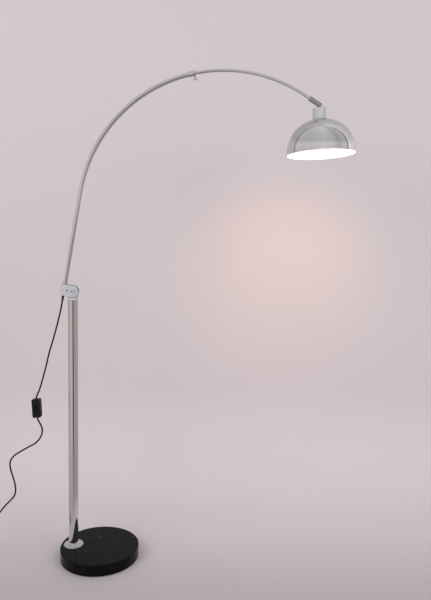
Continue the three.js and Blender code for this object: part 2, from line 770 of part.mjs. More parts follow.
// A ribbed head on a plain neck and a threaded end that reaches the upper tube.
const thumbHeadLow = collarRing + GAP + THUMB_NECK_LENGTH;
const thumbHead = outline(
  Array.from({ length: 2 * THUMB_RIBS }, (_, i) => {
    const angle = (Math.PI * i) / THUMB_RIBS;
    const reach = i % 2 ? THUMB_HEAD_RADIUS : THUMB_HEAD_RADIUS - THUMB_RIB_DEPTH;
    return [reach * Math.cos(angle), reach * Math.sin(angle)];
  }),
);
add(
  collar,
  "thumb_screw",
  acrossCollar(
    join(
      bar(THUMB_RADIUS, UPPER_RADIUS + GAP, thumbHeadLow + 1, 20),
      bar(THUMB_RADIUS + THUMB_NECK_STEP, collarRing + GAP, thumbHeadLow + 1, 20),
      new THREE.ExtrudeGeometry(thumbHead, {
        depth: THUMB_HEAD_LENGTH,
        bevelEnabled: false,
      }).translate(0, 0, thumbHeadLow),
    ),
  ),
  chrome,
);

// ---- upper arm: slides round the arc inside the lower tube ---------------------------------
const upperLine = new ArmLine(UPPER_START, UPPER_END, 0, TIP_STRAIGHT + SLEEVE_INSERT);
add(
  arm,
  "upper_arm_tube",
  swept(upperLine, UPPER_RADIUS, UPPER_RADIUS - UPPER_WALL, UPPER_STEPS, TUBE_SIDES),
  chrome,
);
const glideLine = new ArmLine(UPPER_START, UPPER_START + GLIDE_ARC);
add(arm, "slide_glide", swept(glideLine, bushOuter, bushInner, 2, TUBE_SIDES), nylon);
const webLow = TIP_STRAIGHT + SLEEVE_INSERT + GAP;
const sleeveEnd = TIP_STRAIGHT + SLEEVE_LENGTH;
const knuckleAt = sleeveEnd - KNUCKLE_INSET;
const slotBottom = knuckleAt - KNUCKLE_EYE_RADIUS - KNUCKLE_EYE_GAP;
const upperLeadLine = new ArmLine(UPPER_START, UPPER_END, 0, slotBottom - 1);
add(arm, "upper_lead", swept(upperLeadLine, LEAD_RADIUS, 0, UPPER_STEPS, CORD_SIDES), blackRubber);

// ---- tip sleeve: holds the upper tube and forks round the lamp head's tongue ----------------
const tipPoint = onArc(UPPER_END);
const tip = frameAt(arm, tipPoint.x, 0, tipPoint.z, UPPER_END);
const knuckleHalf = KNUCKLE_TONGUE_THICKNESS / 2;
const slotHalf = knuckleHalf + KNUCKLE_SIDE_GAP;
const tipRadius = UPPER_RADIUS + GAP + TIP_SLEEVE_WALL;
const sleeveProfile = [
  [0, TIP_STRAIGHT],
  [tipRadius - TIP_SLEEVE_EDGE, TIP_STRAIGHT],
  [tipRadius, TIP_STRAIGHT + TIP_SLEEVE_EDGE],
  [tipRadius, sleeveEnd - TIP_SLEEVE_EDGE],
  [tipRadius - TIP_SLEEVE_EDGE, sleeveEnd],
  [0, sleeveEnd],
];
const tipScrewAt = TIP_STRAIGHT + SLEEVE_INSERT / 2;
const slotLength = sleeveEnd - slotBottom + 1;
const slotMiddle = slotBottom + slotLength / 2;
add(
  tip,
  "tip_sleeve",
  cut(
    turned(sleeveProfile),
    bar(UPPER_RADIUS + GAP, TIP_STRAIGHT - 1, webLow),
    bar(LEAD_RADIUS + 0.5, webLow - 1, slotBottom + 1, 16),
    block(3 * tipRadius, 2 * slotHalf, slotLength, 0, 0, slotMiddle),
    crossBar(KNUCKLE_PIN_RADIUS + SCREW_GAP, -tipRadius - 1, tipRadius + 1, 20).translate(
      0,
      0,
      knuckleAt,
    ),
    bar(TIP_SCREW_RADIUS + SCREW_GAP, UPPER_RADIUS, tipRadius + 1, 12)
      .rotateY(Math.PI / 2)
      .translate(0, 0, tipScrewAt),
  ),
  chrome,
);
add(
  tip,
  "sleeve_grub_screw",
  bar(TIP_SCREW_RADIUS, UPPER_RADIUS + GAP, tipRadius - TIP_SCREW_INSET, 12)
    .rotateY(Math.PI / 2)
    .translate(0, 0, tipScrewAt),
  steel,
);
const pinHalf = tipRadius - KNUCKLE_PIN_INSET;
add(
  tip,
  "knuckle_pin",
  crossBar(KNUCKLE_PIN_RADIUS, -pinHalf, pinHalf, 20).translate(0, 0, knuckleAt),
  steel,
);

// ---- lamp head: its frame is at the knuckle pin, with +Z up the shade's axis ----------------
const knuckle = frameAt(tip, 0, 0, knuckleAt, HEAD_LEAN - ARM_LEAN - UPPER_END);
const cupTop = -CUP_DROP;
const cupLow = cupTop - CUP_HEIGHT;
const shoulderRadius = HOLDER_RADIUS + HOLDER_SHOULDER_WIDTH;
const cupInner = shoulderRadius + CUP_CLEARANCE;
const cupRadius = cupInner + CUP_WALL;

// Height of the dome above the skirt's top at a distance from its axis.
const domeHeight = (radius, wide, tall) => tall * Math.sqrt(1 - (radius / wide) ** 2);
const skirtTop = cupLow - SHADE_UNDER_CUP - domeHeight(cupInner, SHADE_RADIUS, SHADE_RISE);
const rimLow = skirtTop - SHADE_SKIRT;

const eye = crossBar(KNUCKLE_EYE_RADIUS, -knuckleHalf, knuckleHalf, 28);
const neckLength = CUP_DROP + CUP_WALL + GAP + CUP_NUT_RECESS;
const neck = block(
  KNUCKLE_NECK_WIDTH,
  KNUCKLE_TONGUE_THICKNESS,
  neckLength,
  0,
  0,
  -neckLength / 2,
);
const stemLow = cupTop - NIPPLE_DEPTH;
const neckSlot = (low, high) =>
  block(
    KNUCKLE_NECK_WIDTH + 2 * GAP,
    KNUCKLE_TONGUE_THICKNESS + 2 * GAP,
    high - low,
    0,
    0,
    (low + high) / 2,
  );
add(
  knuckle,
  "knuckle_tongue",
  cut(
    join(eye, neck, bar(NIPPLE_RADIUS, stemLow, cupTop - CUP_WALL - 2 * GAP, 24)),
    crossBar(KNUCKLE_PIN_RADIUS + SCREW_GAP, -knuckleHalf - 1, knuckleHalf + 1, 20),
    bar(NIPPLE_BORE_RADIUS, stemLow - 1, cupTop - NIPPLE_BORE_DEPTH, 12),
  ),
  dieCast,
);
const cupNutTop = cupTop - CUP_WALL - GAP;
add(
  knuckle,
  "cup_nut",
  cut(
    bar(CUP_NUT_RADIUS, cupNutTop - CUP_NUT_HEIGHT, cupNutTop, 6),
    bar(NIPPLE_RADIUS + SCREW_GAP, stemLow, cupTop, 24),
    neckSlot(-neckLength - GAP, cupTop),
  ),
  steel,
);

const cupProfile = [
  [cupInner, cupLow],
  [cupRadius, cupLow],
  ...arcPoints(cupRadius - CUP_ROUND, cupTop - CUP_ROUND, CUP_ROUND, 0, Math.PI / 2, 3),
  [NIPPLE_RADIUS + SCREW_GAP, cupTop],
  [NIPPLE_RADIUS + SCREW_GAP, cupTop - CUP_WALL],
  ...arcPoints(
    cupRadius - CUP_ROUND,
    cupTop - CUP_ROUND,
    CUP_ROUND - CUP_WALL,
    Math.PI / 2,
    0,
    3,
  ),
  [cupInner, cupLow],
];
add(
  knuckle,
  "socket_cup",
  cut(
    turned(cupProfile),
    neckSlot(cupTop - CUP_WALL - 1, cupTop + 1),
  ),
  chrome,
);

// The lampholder screws onto the stem. Its shoulder rests on the dome, and a ring holds it.
const holderTop = cupTop - HOLDER_DROP;
const holderLow = holderTop - HOLDER_LENGTH;
const boreTop = holderLow + HOLDER_BORE_DEPTH;
const holeRadius = HOLDER_RADIUS + SHADE_HOLE_GAP;
const shoulderLow = skirtTop + domeHeight(holeRadius, SHADE_RADIUS, SHADE_RISE) + GAP;
const holderProfile = [
  [HOLDER_BORE_RADIUS, holderLow],
  [HOLDER_RADIUS, holderLow],
  [HOLDER_RADIUS, shoulderLow],
  [shoulderRadius, shoulderLow],
  [shoulderRadius, shoulderLow + HOLDER_SHOULDER],
  [HOLDER_RADIUS - HOLDER_NECK_STEP, shoulderLow + HOLDER_SHOULDER],
  [HOLDER_RADIUS - HOLDER_NECK_STEP - HOLDER_TAPER, holderTop],
  [NIPPLE_RADIUS + SCREW_GAP, holderTop],
  [NIPPLE_RADIUS + SCREW_GAP, stemLow - 1],
  [HOLDER_LEAD_RADIUS, stemLow - 1],
  [HOLDER_LEAD_RADIUS, boreTop],
  [HOLDER_BORE_RADIUS, boreTop],
  [HOLDER_BORE_RADIUS, holderLow],
];
add(knuckle, "lampholder", turned(holderProfile), porcelain);
const contactLow = boreTop - GAP - CONTACT_THICKNESS;
add(
  knuckle,
  "lampholder_contact",
  bar(CONTACT_RADIUS, contactLow, boreTop - GAP, 20),
  brass,
);

const domeInner = (radius) =>
  skirtTop + domeHeight(radius, SHADE_RADIUS - SHADE_WALL, SHADE_RISE - SHADE_WALL);
const ringOuter = HOLDER_RADIUS + SHADE_RING_WIDTH;
const ringTop = domeInner(ringOuter) - 2 * GAP;
add(
  knuckle,
  "shade_ring",
  ring(HOLDER_RADIUS + GAP, ringOuter, ringTop - SHADE_RING_HEIGHT, ringTop),
  porcelain,
);

// Spun dome: an upright skirt, then an elliptical crown with a hole for the lampholder.
const DOME_RINGS = 7;
const domeArc = (wide, tall) => {
  const last = Math.acos(holeRadius / wide);
  return Array.from({ length: DOME_RINGS + 1 }, (_, i) => {
    const angle = (last * i) / DOME_RINGS;
    return [wide * Math.cos(angle), skirtTop + tall * Math.sin(angle)];
  });
};
const domeOutside = domeArc(SHADE_RADIUS, SHADE_RISE);
const domeInside = domeArc(SHADE_RADIUS - SHADE_WALL, SHADE_RISE - SHADE_WALL).reverse();
const domeProfile = [
  [SHADE_RADIUS - SHADE_WALL, rimLow],
  [SHADE_RADIUS, rimLow],
  ...domeOutside,
  ...domeInside,
  [SHADE_RADIUS - SHADE_WALL, rimLow],
];
add(knuckle, "dome_shade", turned(domeProfile, 36), chrome);

// Bulb: a metal screw cap and an opal globe, open at its neck inside the cap.
const bulbCapRadius = HOLDER_BORE_RADIUS - CAP_CLEARANCE;
const capTop = contactLow - GAP;
const capLow = capTop - BULB_CAP_HEIGHT;
const neckRadius = bulbCapRadius - CAP_WALL;
add(
  knuckle,
  "bulb_cap",
  turned(
    [
      [0, capTop - CAP_TIP_HEIGHT],
      [neckRadius, capTop - CAP_TIP_HEIGHT - CAP_END_THICKNESS],
      [neckRadius, capLow],
      [bulbCapRadius, capLow],
      [bulbCapRadius, capTop - CAP_TIP_HEIGHT],
      [CAP_TIP_RADIUS, capTop],
      [0, capTop],
    ],
    18,
  ),
  brass,
);
const glassTop = capLow + BULB_IN_CAP;
const globeCentre = capLow - BULB_LENGTH + BULB_RADIUS;
const globePoints = (radius, offset) => [
  ...arcPoints(0, globeCentre, radius, -Math.PI / 2, Math.PI / 5, 6),
  [neckRadius - offset + BULB_SHOULDER_STEP, capLow - BULB_SHOULDER_DROP],
  [neckRadius - offset, capLow - 3],
  [neckRadius - offset, glassTop],
];
add(
  knuckle,
  "bulb_glass",
  turned(
    [
      ...globePoints(BULB_RADIUS, GAP),
      ...globePoints(BULB_RADIUS - BULB_WALL, GAP + BULB_WALL).reverse(),
    ],
    18,
  ),
  opalGlass,
);

// ---- cord: three tubes and the coil's outer shape ------------------------------------------
function cordTube(points) {
  const path = new THREE.CatmullRomCurve3(points.map((p) => new THREE.Vector3(...p)));
  const steps = Math.ceil(path.getLength() / CORD_STEP);
  return swept(path, CORD_RADIUS, 0, steps, CORD_SIDES);
}
add(lamp, "cord_upper", cordTube(UPPER_CORD), blackRubber);
add(lamp, "cord_lower", cordTube(LOWER_CORD), blackRubber);
add(lamp, "cord_tail", cordTube(TAIL_CORD), blackRubber);

// Three turns lie side by side, with more turns in the dips between them.
const coilOuter = COIL_INNER_RADIUS + 2 * CORD_RADIUS * COIL_TURNS_ACROSS;
const coilTop = COIL_FLOOR_GAP + CORD_RADIUS * (2 + Math.sqrt(3));
const coilProfile = [
  [COIL_INNER_RADIUS, COIL_FLOOR_GAP + COIL_ROUND],
  [COIL_INNER_RADIUS + COIL_ROUND, COIL_FLOOR_GAP],
  [coilOuter - COIL_ROUND, COIL_FLOOR_GAP],
  [coilOuter, COIL_FLOOR_GAP + COIL_ROUND],
  [coilOuter, coilTop - COIL_ROUND],
  [coilOuter - COIL_ROUND, coilTop],
  [COIL_INNER_RADIUS + COIL_ROUND, coilTop],
  [COIL_INNER_RADIUS, coilTop - COIL_ROUND],
  [COIL_INNER_RADIUS, COIL_FLOOR_GAP + COIL_ROUND],
];
const coil = frameAt(lamp, ...COIL_AT, 0);
add(coil, "cord_coil", turned(coilProfile), blackRubber);

// ---- inline switch: two half shells, a rocker and two screws --------------------------------
const inline = frameAt(lamp, ...SWITCH_AT, SWITCH_LEAN);
const halfWidth = SWITCH_WIDTH / 2;
const halfLength = SWITCH_LENGTH / 2;
const halfDepth = SWITCH_DEPTH / 2;
const switchShape = outline([
  [-halfWidth, -halfLength + SWITCH_CHAMFER],
  [-halfWidth + SWITCH_CHAMFER, -halfLength],
  [halfWidth - SWITCH_CHAMFER, -halfLength],
  [halfWidth, -halfLength + SWITCH_CHAMFER],
  [halfWidth, halfLength - SWITCH_CHAMFER],
  [halfWidth - SWITCH_CHAMFER, halfLength],
  [-halfWidth + SWITCH_CHAMFER, halfLength],
  [-halfWidth, halfLength - SWITCH_CHAMFER],
]);
const pocketWidth = SWITCH_WIDTH - 2 * SWITCH_WALL - SWITCH_SIDE_SOLID;
const pocketLength = SWITCH_LENGTH - 2 * SWITCH_WALL - SWITCH_END_SOLID;
const cordEntry = bar(CORD_RADIUS + 3 * GAP, -halfLength - 1, halfLength + 1, 16);
const screwPlaces = {
  upper: halfLength - SWITCH_SCREW_END_INSET,
  lower: -halfLength + SWITCH_SCREW_END_INSET,
};
const switchScrewX = halfWidth - SWITCH_SCREW_SIDE_INSET;
const screwHeadFront = halfDepth - SWITCH_SCREW_HEAD_DEPTH;
const screwBar = (radius, front, back, place, sides) =>
  crossBar(radius, front, back, sides).translate(switchScrewX, 0, place);
const screwHole = (place) =>
  screwBar(SWITCH_SCREW_RADIUS + SCREW_GAP, -3, halfDepth + 1, place, 12);
const headHole = (place) =>
  screwBar(SWITCH_SCREW_HEAD_RADIUS + SCREW_GAP, screwHeadFront, halfDepth + 1, place, 16);
add(
  inline,
  "switch_shell_front",
  cut(
    plate(switchShape, -halfDepth, -GAP / 2),
    block(pocketWidth, halfDepth, pocketLength, 0, -halfDepth / 2 + SWITCH_WALL, 0),
    block(ROCKER_WIDTH + 2 * GAP, 8, ROCKER_LENGTH + 2, 0, -halfDepth, 0),
    cordEntry,
    ...Object.values(screwPlaces).map(screwHole),
  ),
  blackPlastic,
);
add(
  inline,
  "switch_shell_back",
  cut(
    plate(switchShape, GAP / 2, halfDepth),
    block(pocketWidth, halfDepth, pocketLength, 0, halfDepth / 2 - SWITCH_WALL, 0),
    cordEntry,
    ...Object.values(screwPlaces).map(screwHole),
    ...Object.values(screwPlaces).map(headHole),
  ),
  blackPlastic,
);
for (const [name, place] of Object.entries(screwPlaces)) {
  add(
    inline,
    "switch_screw_" + name,
    join(
      screwBar(SWITCH_SCREW_RADIUS, -2, halfDepth - 1, place, 12),
      screwBar(SWITCH_SCREW_HEAD_RADIUS, screwHeadFront + GAP, halfDepth - GAP, place, 16),
    ),
    steel,
  );
}

// The rocker's face stands a little proud, and one end is down.
const rockerPivotY = -halfDepth + ROCKER_PIVOT_DEPTH;
const rocker = frameAt(inline, 0, rockerPivotY, 0);
rocker.rotation.set(ROCKER_ANGLE, 0, 0);
const rockerShape = new THREE.Shape();
rockerShape.moveTo(-ROCKER_LENGTH / 2, ROCKER_FACE);
rockerShape.lineTo(-ROCKER_LENGTH / 2 + 0.6, 0.6);
rockerShape.absarc(0, 1, ROCKER_ROUND, Math.PI, 2 * Math.PI);
rockerShape.lineTo(ROCKER_LENGTH / 2 - 0.6, 0.6);
rockerShape.lineTo(ROCKER_LENGTH / 2, ROCKER_FACE);
rockerShape.lineTo(0, ROCKER_WAIST);
rockerShape.closePath();
add(
  rocker,
  "switch_rocker",
  new THREE.ExtrudeGeometry(rockerShape, {
    depth: ROCKER_WIDTH,
    bevelEnabled: false,
    curveSegments: 8,
  })
    .translate(0, 0, -ROCKER_WIDTH / 2)
    .rotateX(Math.PI / 2)
    .rotateZ(-Math.PI / 2)
    .rotateY(Math.PI / 2),
  blackPlastic,
);

// ---- plug: strain relief, flat body and two pins, lying on the floor beside the coil --------
const plug = frameAt(lamp, ...PLUG_AT, PLUG_THICKNESS / 2 + 0.1);
const reliefProfile = [
  [0, 0],
  [CORD_RADIUS + GLAND_TIP_WALL, 0],
  [CORD_RADIUS + PLUG_RELIEF_WALL, PLUG_RELIEF_LENGTH],
  [0, PLUG_RELIEF_LENGTH],
];
add(
  plug,
  "plug_strain_relief",
  turned(reliefProfile, 20).rotateY(Math.PI / 2),
  blackRubber,
);
const plugStart = PLUG_RELIEF_LENGTH + GAP;
const plugEnd = plugStart + PLUG_LENGTH;
const plugHalf = PLUG_WIDTH / 2;
const plugShape = outline([
  [plugStart, -PLUG_NECK_HALF],
  [plugStart + PLUG_SHOULDER, -plugHalf + 3],
  [plugEnd - PLUG_SHOULDER, -plugHalf],
  [plugEnd, -plugHalf],
  [plugEnd, plugHalf],
  [plugEnd - PLUG_SHOULDER, plugHalf],
  [plugStart + PLUG_SHOULDER, plugHalf - 3],
  [plugStart, PLUG_NECK_HALF],
]);
const plugPin = (radius, from, to) => bar(radius, from, to, 16).rotateY(Math.PI / 2);
const pinSides = { left: PIN_SPACING / 2, right: -PIN_SPACING / 2 };
add(
  plug,
  "plug_body",
  cut(
    new THREE.ExtrudeGeometry(plugShape, {
      depth: PLUG_THICKNESS - 2 * PLUG_BEVEL,
      bevelThickness: PLUG_BEVEL,
      bevelSize: PLUG_BEVEL,
      bevelOffset: -PLUG_BEVEL,
      bevelSegments: 2,
    }).translate(0, 0, -PLUG_THICKNESS / 2 + PLUG_BEVEL),
    ...Object.values(pinSides).map((y) =>
      plugPin(PIN_RADIUS + GAP, plugEnd - PIN_EMBED - GAP, plugEnd + 1).translate(0, y, 0),
    ),
  ),
  blackPlastic,
);
for (const [name, y] of Object.entries(pinSides)) {
  const pin = plugPin(PIN_RADIUS, plugEnd - PIN_EMBED, plugEnd + PIN_LENGTH);
  add(plug, "plug_pin_" + name, pin.translate(0, y, 0), brass);
}

export default lamp;
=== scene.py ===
import math

import bmesh
import bpy
import numpy as np
from mathutils import Matrix, Vector


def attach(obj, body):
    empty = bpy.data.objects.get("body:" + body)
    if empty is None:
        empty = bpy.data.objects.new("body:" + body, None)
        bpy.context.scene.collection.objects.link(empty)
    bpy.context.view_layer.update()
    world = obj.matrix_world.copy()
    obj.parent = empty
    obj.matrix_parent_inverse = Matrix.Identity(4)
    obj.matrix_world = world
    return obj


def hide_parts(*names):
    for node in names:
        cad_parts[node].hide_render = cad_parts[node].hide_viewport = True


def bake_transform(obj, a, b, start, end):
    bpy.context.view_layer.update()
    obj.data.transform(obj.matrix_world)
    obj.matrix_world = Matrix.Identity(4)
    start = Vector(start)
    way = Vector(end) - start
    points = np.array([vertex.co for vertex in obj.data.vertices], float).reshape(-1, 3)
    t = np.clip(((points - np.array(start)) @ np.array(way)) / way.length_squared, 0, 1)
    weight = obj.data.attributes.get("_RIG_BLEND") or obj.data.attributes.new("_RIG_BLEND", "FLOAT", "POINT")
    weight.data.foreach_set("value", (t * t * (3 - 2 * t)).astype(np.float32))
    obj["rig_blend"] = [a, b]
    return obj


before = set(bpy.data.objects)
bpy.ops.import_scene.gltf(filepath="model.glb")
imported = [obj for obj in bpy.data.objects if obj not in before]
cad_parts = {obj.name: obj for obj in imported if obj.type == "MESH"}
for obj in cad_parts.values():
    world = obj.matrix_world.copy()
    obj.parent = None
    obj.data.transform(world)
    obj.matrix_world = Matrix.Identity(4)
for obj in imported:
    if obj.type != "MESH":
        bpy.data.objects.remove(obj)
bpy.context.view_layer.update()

# ---- camera --------------------------------------------------------------------------------
# A normal lens at chest height, about two metres in front of the lamp, tipped a little down and
# turned a little on its axis.
CAMERA_AT = (0.43186, -2.1704, 1.2136)
CAMERA_PITCH = 0.0926
CAMERA_ROLL = 0.0198

camera_data = bpy.data.cameras.new("camera")
camera_data.lens = 34.93
camera_data.sensor_width = 36.0
camera_data.clip_end = 50.0
camera = bpy.data.objects.new("camera", camera_data)
camera.matrix_world = (
    Matrix.Translation(CAMERA_AT)
    @ Matrix.Rotation(math.pi / 2 - CAMERA_PITCH, 4, "X")
    @ Matrix.Rotation(CAMERA_ROLL, 4, "Z")
)
bpy.context.scene.collection.objects.link(camera)
bpy.context.scene.camera = camera
bpy.context.scene.view_settings.view_transform = "Standard"

# ---- mains lead ----------------------------------------------------------------------------
# Two lengths of round 6 mm lead in soft black PVC. The first hangs from the bracket to the inline
# switch. The second falls to the floor, where the spare length is coiled before the plug.
LEAD_RADIUS = 0.003
LEAD_SIDES = 20
ROUTE_STEP = 0.004
UPPER_ROUTE = [
    (-0.14235, 0, 0.9947), (-0.1468, 0, 0.970), (-0.160, -0.001, 0.912), (-0.176, -0.002, 0.853),
    (-0.191, -0.003, 0.802), (-0.205, -0.004, 0.742), (-0.2225, -0.005, 0.678),
    (-0.231, -0.006, 0.651), (-0.2386, -0.007, 0.6345), (-0.24045, -0.007, 0.6185),
]
LOWER_ROUTE = [
    (-0.23655, -0.007, 0.5566), (-0.2354, -0.007, 0.5435), (-0.226, -0.007, 0.5255),
    (-0.2188, -0.007, 0.504), (-0.224, -0.007, 0.477), (-0.243, -0.007, 0.452),
    (-0.272, -0.007, 0.434), (-0.303, -0.007, 0.4155), (-0.329, -0.007, 0.397),
    (-0.3425, -0.007, 0.374), (-0.342, -0.007, 0.348), (-0.3335, -0.007, 0.317),
    (-0.3255, -0.007, 0.286), (-0.3233, -0.007, 0.261), (-0.329, -0.007, 0.239),
    (-0.347, -0.007, 0.218), (-0.366, -0.008, 0.197), (-0.384, -0.008, 0.174),
    (-0.412, -0.009, 0.142), (-0.439, -0.011, 0.106), (-0.460, -0.015, 0.066),
    (-0.472, -0.024, 0.034), (-0.4775, -0.038, 0.0175), (-0.4785, -0.056, 0.011),
    (-0.4785, -0.074, 0.0095),
]
TAIL_ROUTE = [
    (-0.4723, -0.0983, 0.0032), (-0.4655, -0.110, 0.0033), (-0.4569, -0.125, 0.0044),
    (-0.4467, -0.1352, 0.0059), (-0.4385, -0.1384, 0.0068), (-0.4331, -0.139, 0.007),
]
COIL_CENTRE = (-0.432, -0.075)


def unit(vectors):
    """Each vector divided by its own length."""
    return vectors / np.linalg.norm(vectors, axis=-1, keepdims=True)


def smooth_route(points, step):
    """A curve through every point, then spaced evenly. Between two neighbours it is a cubic whose
    end slopes come from the points on either side, weighted by the roots of their distances."""
    p = np.asarray(points, float)
    p = np.vstack([2 * p[0] - p[1], p, 2 * p[-1] - p[-2]])
    span = np.sqrt(np.linalg.norm(np.diff(p, axis=0), axis=1))[:, None]
    before, here, after = span[:-2], span[1:-1], span[2:]
    a, b, c, d = p[:-3], p[1:-2], p[2:-1], p[3:]
    leave = ((b - a) / before - (c - a) / (before + here) + (c - b) / here) * here
    reach = ((c - b) / here - (d - b) / (here + after) + (d - c) / after) * here
    t = np.linspace(0, 1, 40, endpoint=False)[None, :, None]
    b, c, leave, reach = (v[:, None, :] for v in (b, c, leave, reach))
    bend = 3 * (c - b) - 2 * leave - reach
    twist = 2 * (b - c) + leave + reach
    dense = (b + leave * t + bend * t**2 + twist * t**3).reshape(-1, 3)
    dense = np.vstack([dense, p[-2]])
    done = np.append(0, np.cumsum(np.linalg.norm(np.diff(dense, axis=0), axis=1)))
    even = np.linspace(0, done[-1], int(round(done[-1] / step)) + 1)
    return np.stack([np.interp(even, done, dense[:, k]) for k in range(3)], axis=1)


def ease(t):
    """A slow start and a slow end: three t squared less two t cubed."""
    t = np.clip(t, 0, 1)
    return t * t * (3 - 2 * t)


def round_skin(path, radius, sides, side):
    """Rings round a path. Each ring's point is the path's point plus the radius times the cosine
    and sine of the turn, along two directions square to the path."""
    ahead = unit(np.gradient(path, axis=0))
    across = unit(np.cross(ahead, side))
    up = np.cross(across, ahead)
    turn = np.arange(sides) * 2 * np.pi / sides
    ring = np.cos(turn)[None, :, None] * across[:, None] + np.sin(turn)[None, :, None] * up[:, None]
    reach = np.broadcast_to(radius, len(path))[:, None, None]
    return path[:, None] + reach * ring


def skin(name, grid, loop=False, capped=False, sharp=38, body=None, stands_for=()):
    """A mesh through a grid of points, with a quad between each point, the next one in its row
    and the two in the next row. Rows close on themselves, and with loop the rows do too."""
    rows, columns = grid.shape[:2]
    index = np.arange(rows * columns).reshape(rows, columns)
    low = index if loop else index[:-1]
    high = np.roll(index, -1, 0) if loop else index[1:]
    quads = np.stack([low, np.roll(low, -1, 1), np.roll(high, -1, 1), high], axis=-1)
    faces = quads.reshape(-1, 4).tolist()
    if capped:
        faces += [index[0][::-1].tolist(), index[-1].tolist()]
    mesh = bpy.data.meshes.new(name)
    mesh.from_pydata(grid.reshape(-1, 3).tolist(), [], faces)
    shape = bmesh.new()
    shape.from_mesh(mesh)
    bmesh.ops.remove_doubles(shape, verts=shape.verts, dist=1e-6)
    bmesh.ops.dissolve_degenerate(shape, edges=shape.edges, dist=1e-7)
    if shape.calc_volume(signed=True) < 0:
        bmesh.ops.reverse_faces(shape, faces=shape.faces)
    shape.to_mesh(mesh)
    shape.free()
    mesh.polygons.foreach_set("use_smooth", np.ones(len(mesh.polygons), bool))
    mesh.set_sharp_from_angle(angle=math.radians(sharp))
    return piece(name, mesh, body, stands_for)


def piece(name, mesh, body, stands_for=()):
    """An object at the origin for a mesh, which rides on a body and stands for CAD nodes."""
    made = bpy.data.objects.new(name, mesh)
    bpy.context.scene.collection.objects.link(made)
    if body:
        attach(made, body)
    if stands_for:
        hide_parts(*stands_for)
    return made


# The coil: the top layer winds inwards, drops at the middle, and the bottom layer winds outwards.
# Its turns are in degrees, and its radii and heights in millimetres.
COIL_TURNS = [180, 240, 960, 1140, 1860, 2010]
MOUTH, OUTER, INNER = 46.5, 40, 28
start, wound, drop, dropped, leaving, end = COIL_TURNS
turn = np.radians(np.arange(start, end + 1, 5.0))
degrees = np.degrees(turn)
reach = np.interp(degrees, COIL_TURNS, [MOUTH, OUTER, INNER, INNER, OUTER, MOUTH])
entering = MOUTH - (MOUTH - OUTER) * ease((degrees - start) / (wound - start))
reach = np.where(degrees < wound, entering, reach)
going = OUTER + (MOUTH - OUTER) * ease((degrees - leaving) / (end - leaving))
reach = np.where(degrees > leaving, going, reach)
tuck = 0.8 * np.exp(-(((degrees - (drop + dropped) / 2) / 70) ** 2))
reach = reach - tuck
TOP_LAYER, ENTRY_SINK, LAYER_DROP = 9.5, 0.25, 6.1
height = (
    TOP_LAYER
    - ENTRY_SINK * ease((degrees - start) / (wound - start))
    - LAYER_DROP * ease((degrees - drop) / (dropped - drop))
)
coil_route = np.stack(
    [
        COIL_CENTRE[0] + reach / 1000 * np.cos(turn),
        COIL_CENTRE[1] + reach / 1000 * np.sin(turn),
        height / 1000,
    ],
    axis=1,
)
upper_path = smooth_route(UPPER_ROUTE, ROUTE_STEP)
lower_path = smooth_route(np.vstack([LOWER_ROUTE, coil_route[3:-3:3], TAIL_ROUTE]), ROUTE_STEP)

sideways = np.broadcast_to([0.0, 1.0, 0.0], upper_path.shape)
upper_lead = skin(
    "lead_upper", round_skin(upper_path, LEAD_RADIUS, LEAD_SIDES, sideways), capped=True,
    stands_for=["cord_upper"],
)
# Rings start from a sideways direction, which turns to upright before the lead reaches the floor.
FLOOR_NEAR, FLOOR_BAND = 0.20, 0.12
near_floor = ease((FLOOR_NEAR - lower_path[:, 2]) / FLOOR_BAND)[:, None]
near_floor = np.maximum.accumulate(near_floor)
sideways = (1 - near_floor) * [0.0, 1.0, 0.0] + near_floor * [0.0, 0.0, 1.0]
lower_lead = skin(
    "lead_lower", round_skin(lower_path, LEAD_RADIUS, LEAD_SIDES, sideways), capped=True,
    body="base", stands_for=["cord_lower", "cord_coil", "cord_tail"],
)


def new_group(name, inputs, outputs):
    """A shader node group with named sockets, and its two end nodes."""
    group = bpy.data.node_groups.new(name, "ShaderNodeTree")
    for title, kind, value in inputs:
        socket = group.interface.new_socket(title, in_out="INPUT", socket_type=kind)
        if value is not None:
            socket.default_value = value
    for title, kind in outputs:
        group.interface.new_socket(title, in_out="OUTPUT", socket_type=kind)
    return group, group.nodes.new("NodeGroupInput"), group.nodes.new("NodeGroupOutput")


def joined(tree, kind, inputs, **settings):
    """A new shader node with its settings, and a link or a value for each input that is named."""
    node = tree.nodes.new(kind)
    for title, value in settings.items():
        setattr(node, title, value)
    for title, value in inputs.items():
        if isinstance(value, bpy.types.NodeSocket):
            tree.links.new(value, node.inputs[title])
        else:
            node.inputs[title].default_value = value
    return node


def maths(tree, operation, first, second):
    """The result of one operation on two sources or values."""
    return joined(tree, "ShaderNodeMath", {0: first, 1: second}, operation=operation).outputs[0]


def ramped(tree, source, low, high, shape="SMOOTHSTEP"):
    """From 0 to 1 as a source goes from low to high, and held there past either end."""
    values = {"Value": source, "From Min": low, "From Max": high}
    return joined(tree, "ShaderNodeMapRange", values, interpolation_type=shape).outputs[0]


def blended(tree, share, first, second, kind="MIX"):
    """The first colour at a share of 0, and at 1 the second, or their product for MULTIPLY."""
    values = {0: share, 6: first, 7: second}
    return joined(tree, "ShaderNodeMix", values, data_type="RGBA", blend_type=kind).outputs[2]


def bands(tree, source, stops):
    """A colour ramp from a source: each stop is a place from 0 to 1 and a colour."""
    ramp = joined(tree, "ShaderNodeValToRGB", {0: source})
    elements = ramp.color_ramp.elements
    elements[0].position, elements[1].position = stops[0][0], stops[-1][0]
    for place, colour in stops[1:-1]:
        elements.new(place)
    for element, (place, colour) in zip(elements, stops):
        element.color = (*colour, 1)
    return ramp.outputs[0]


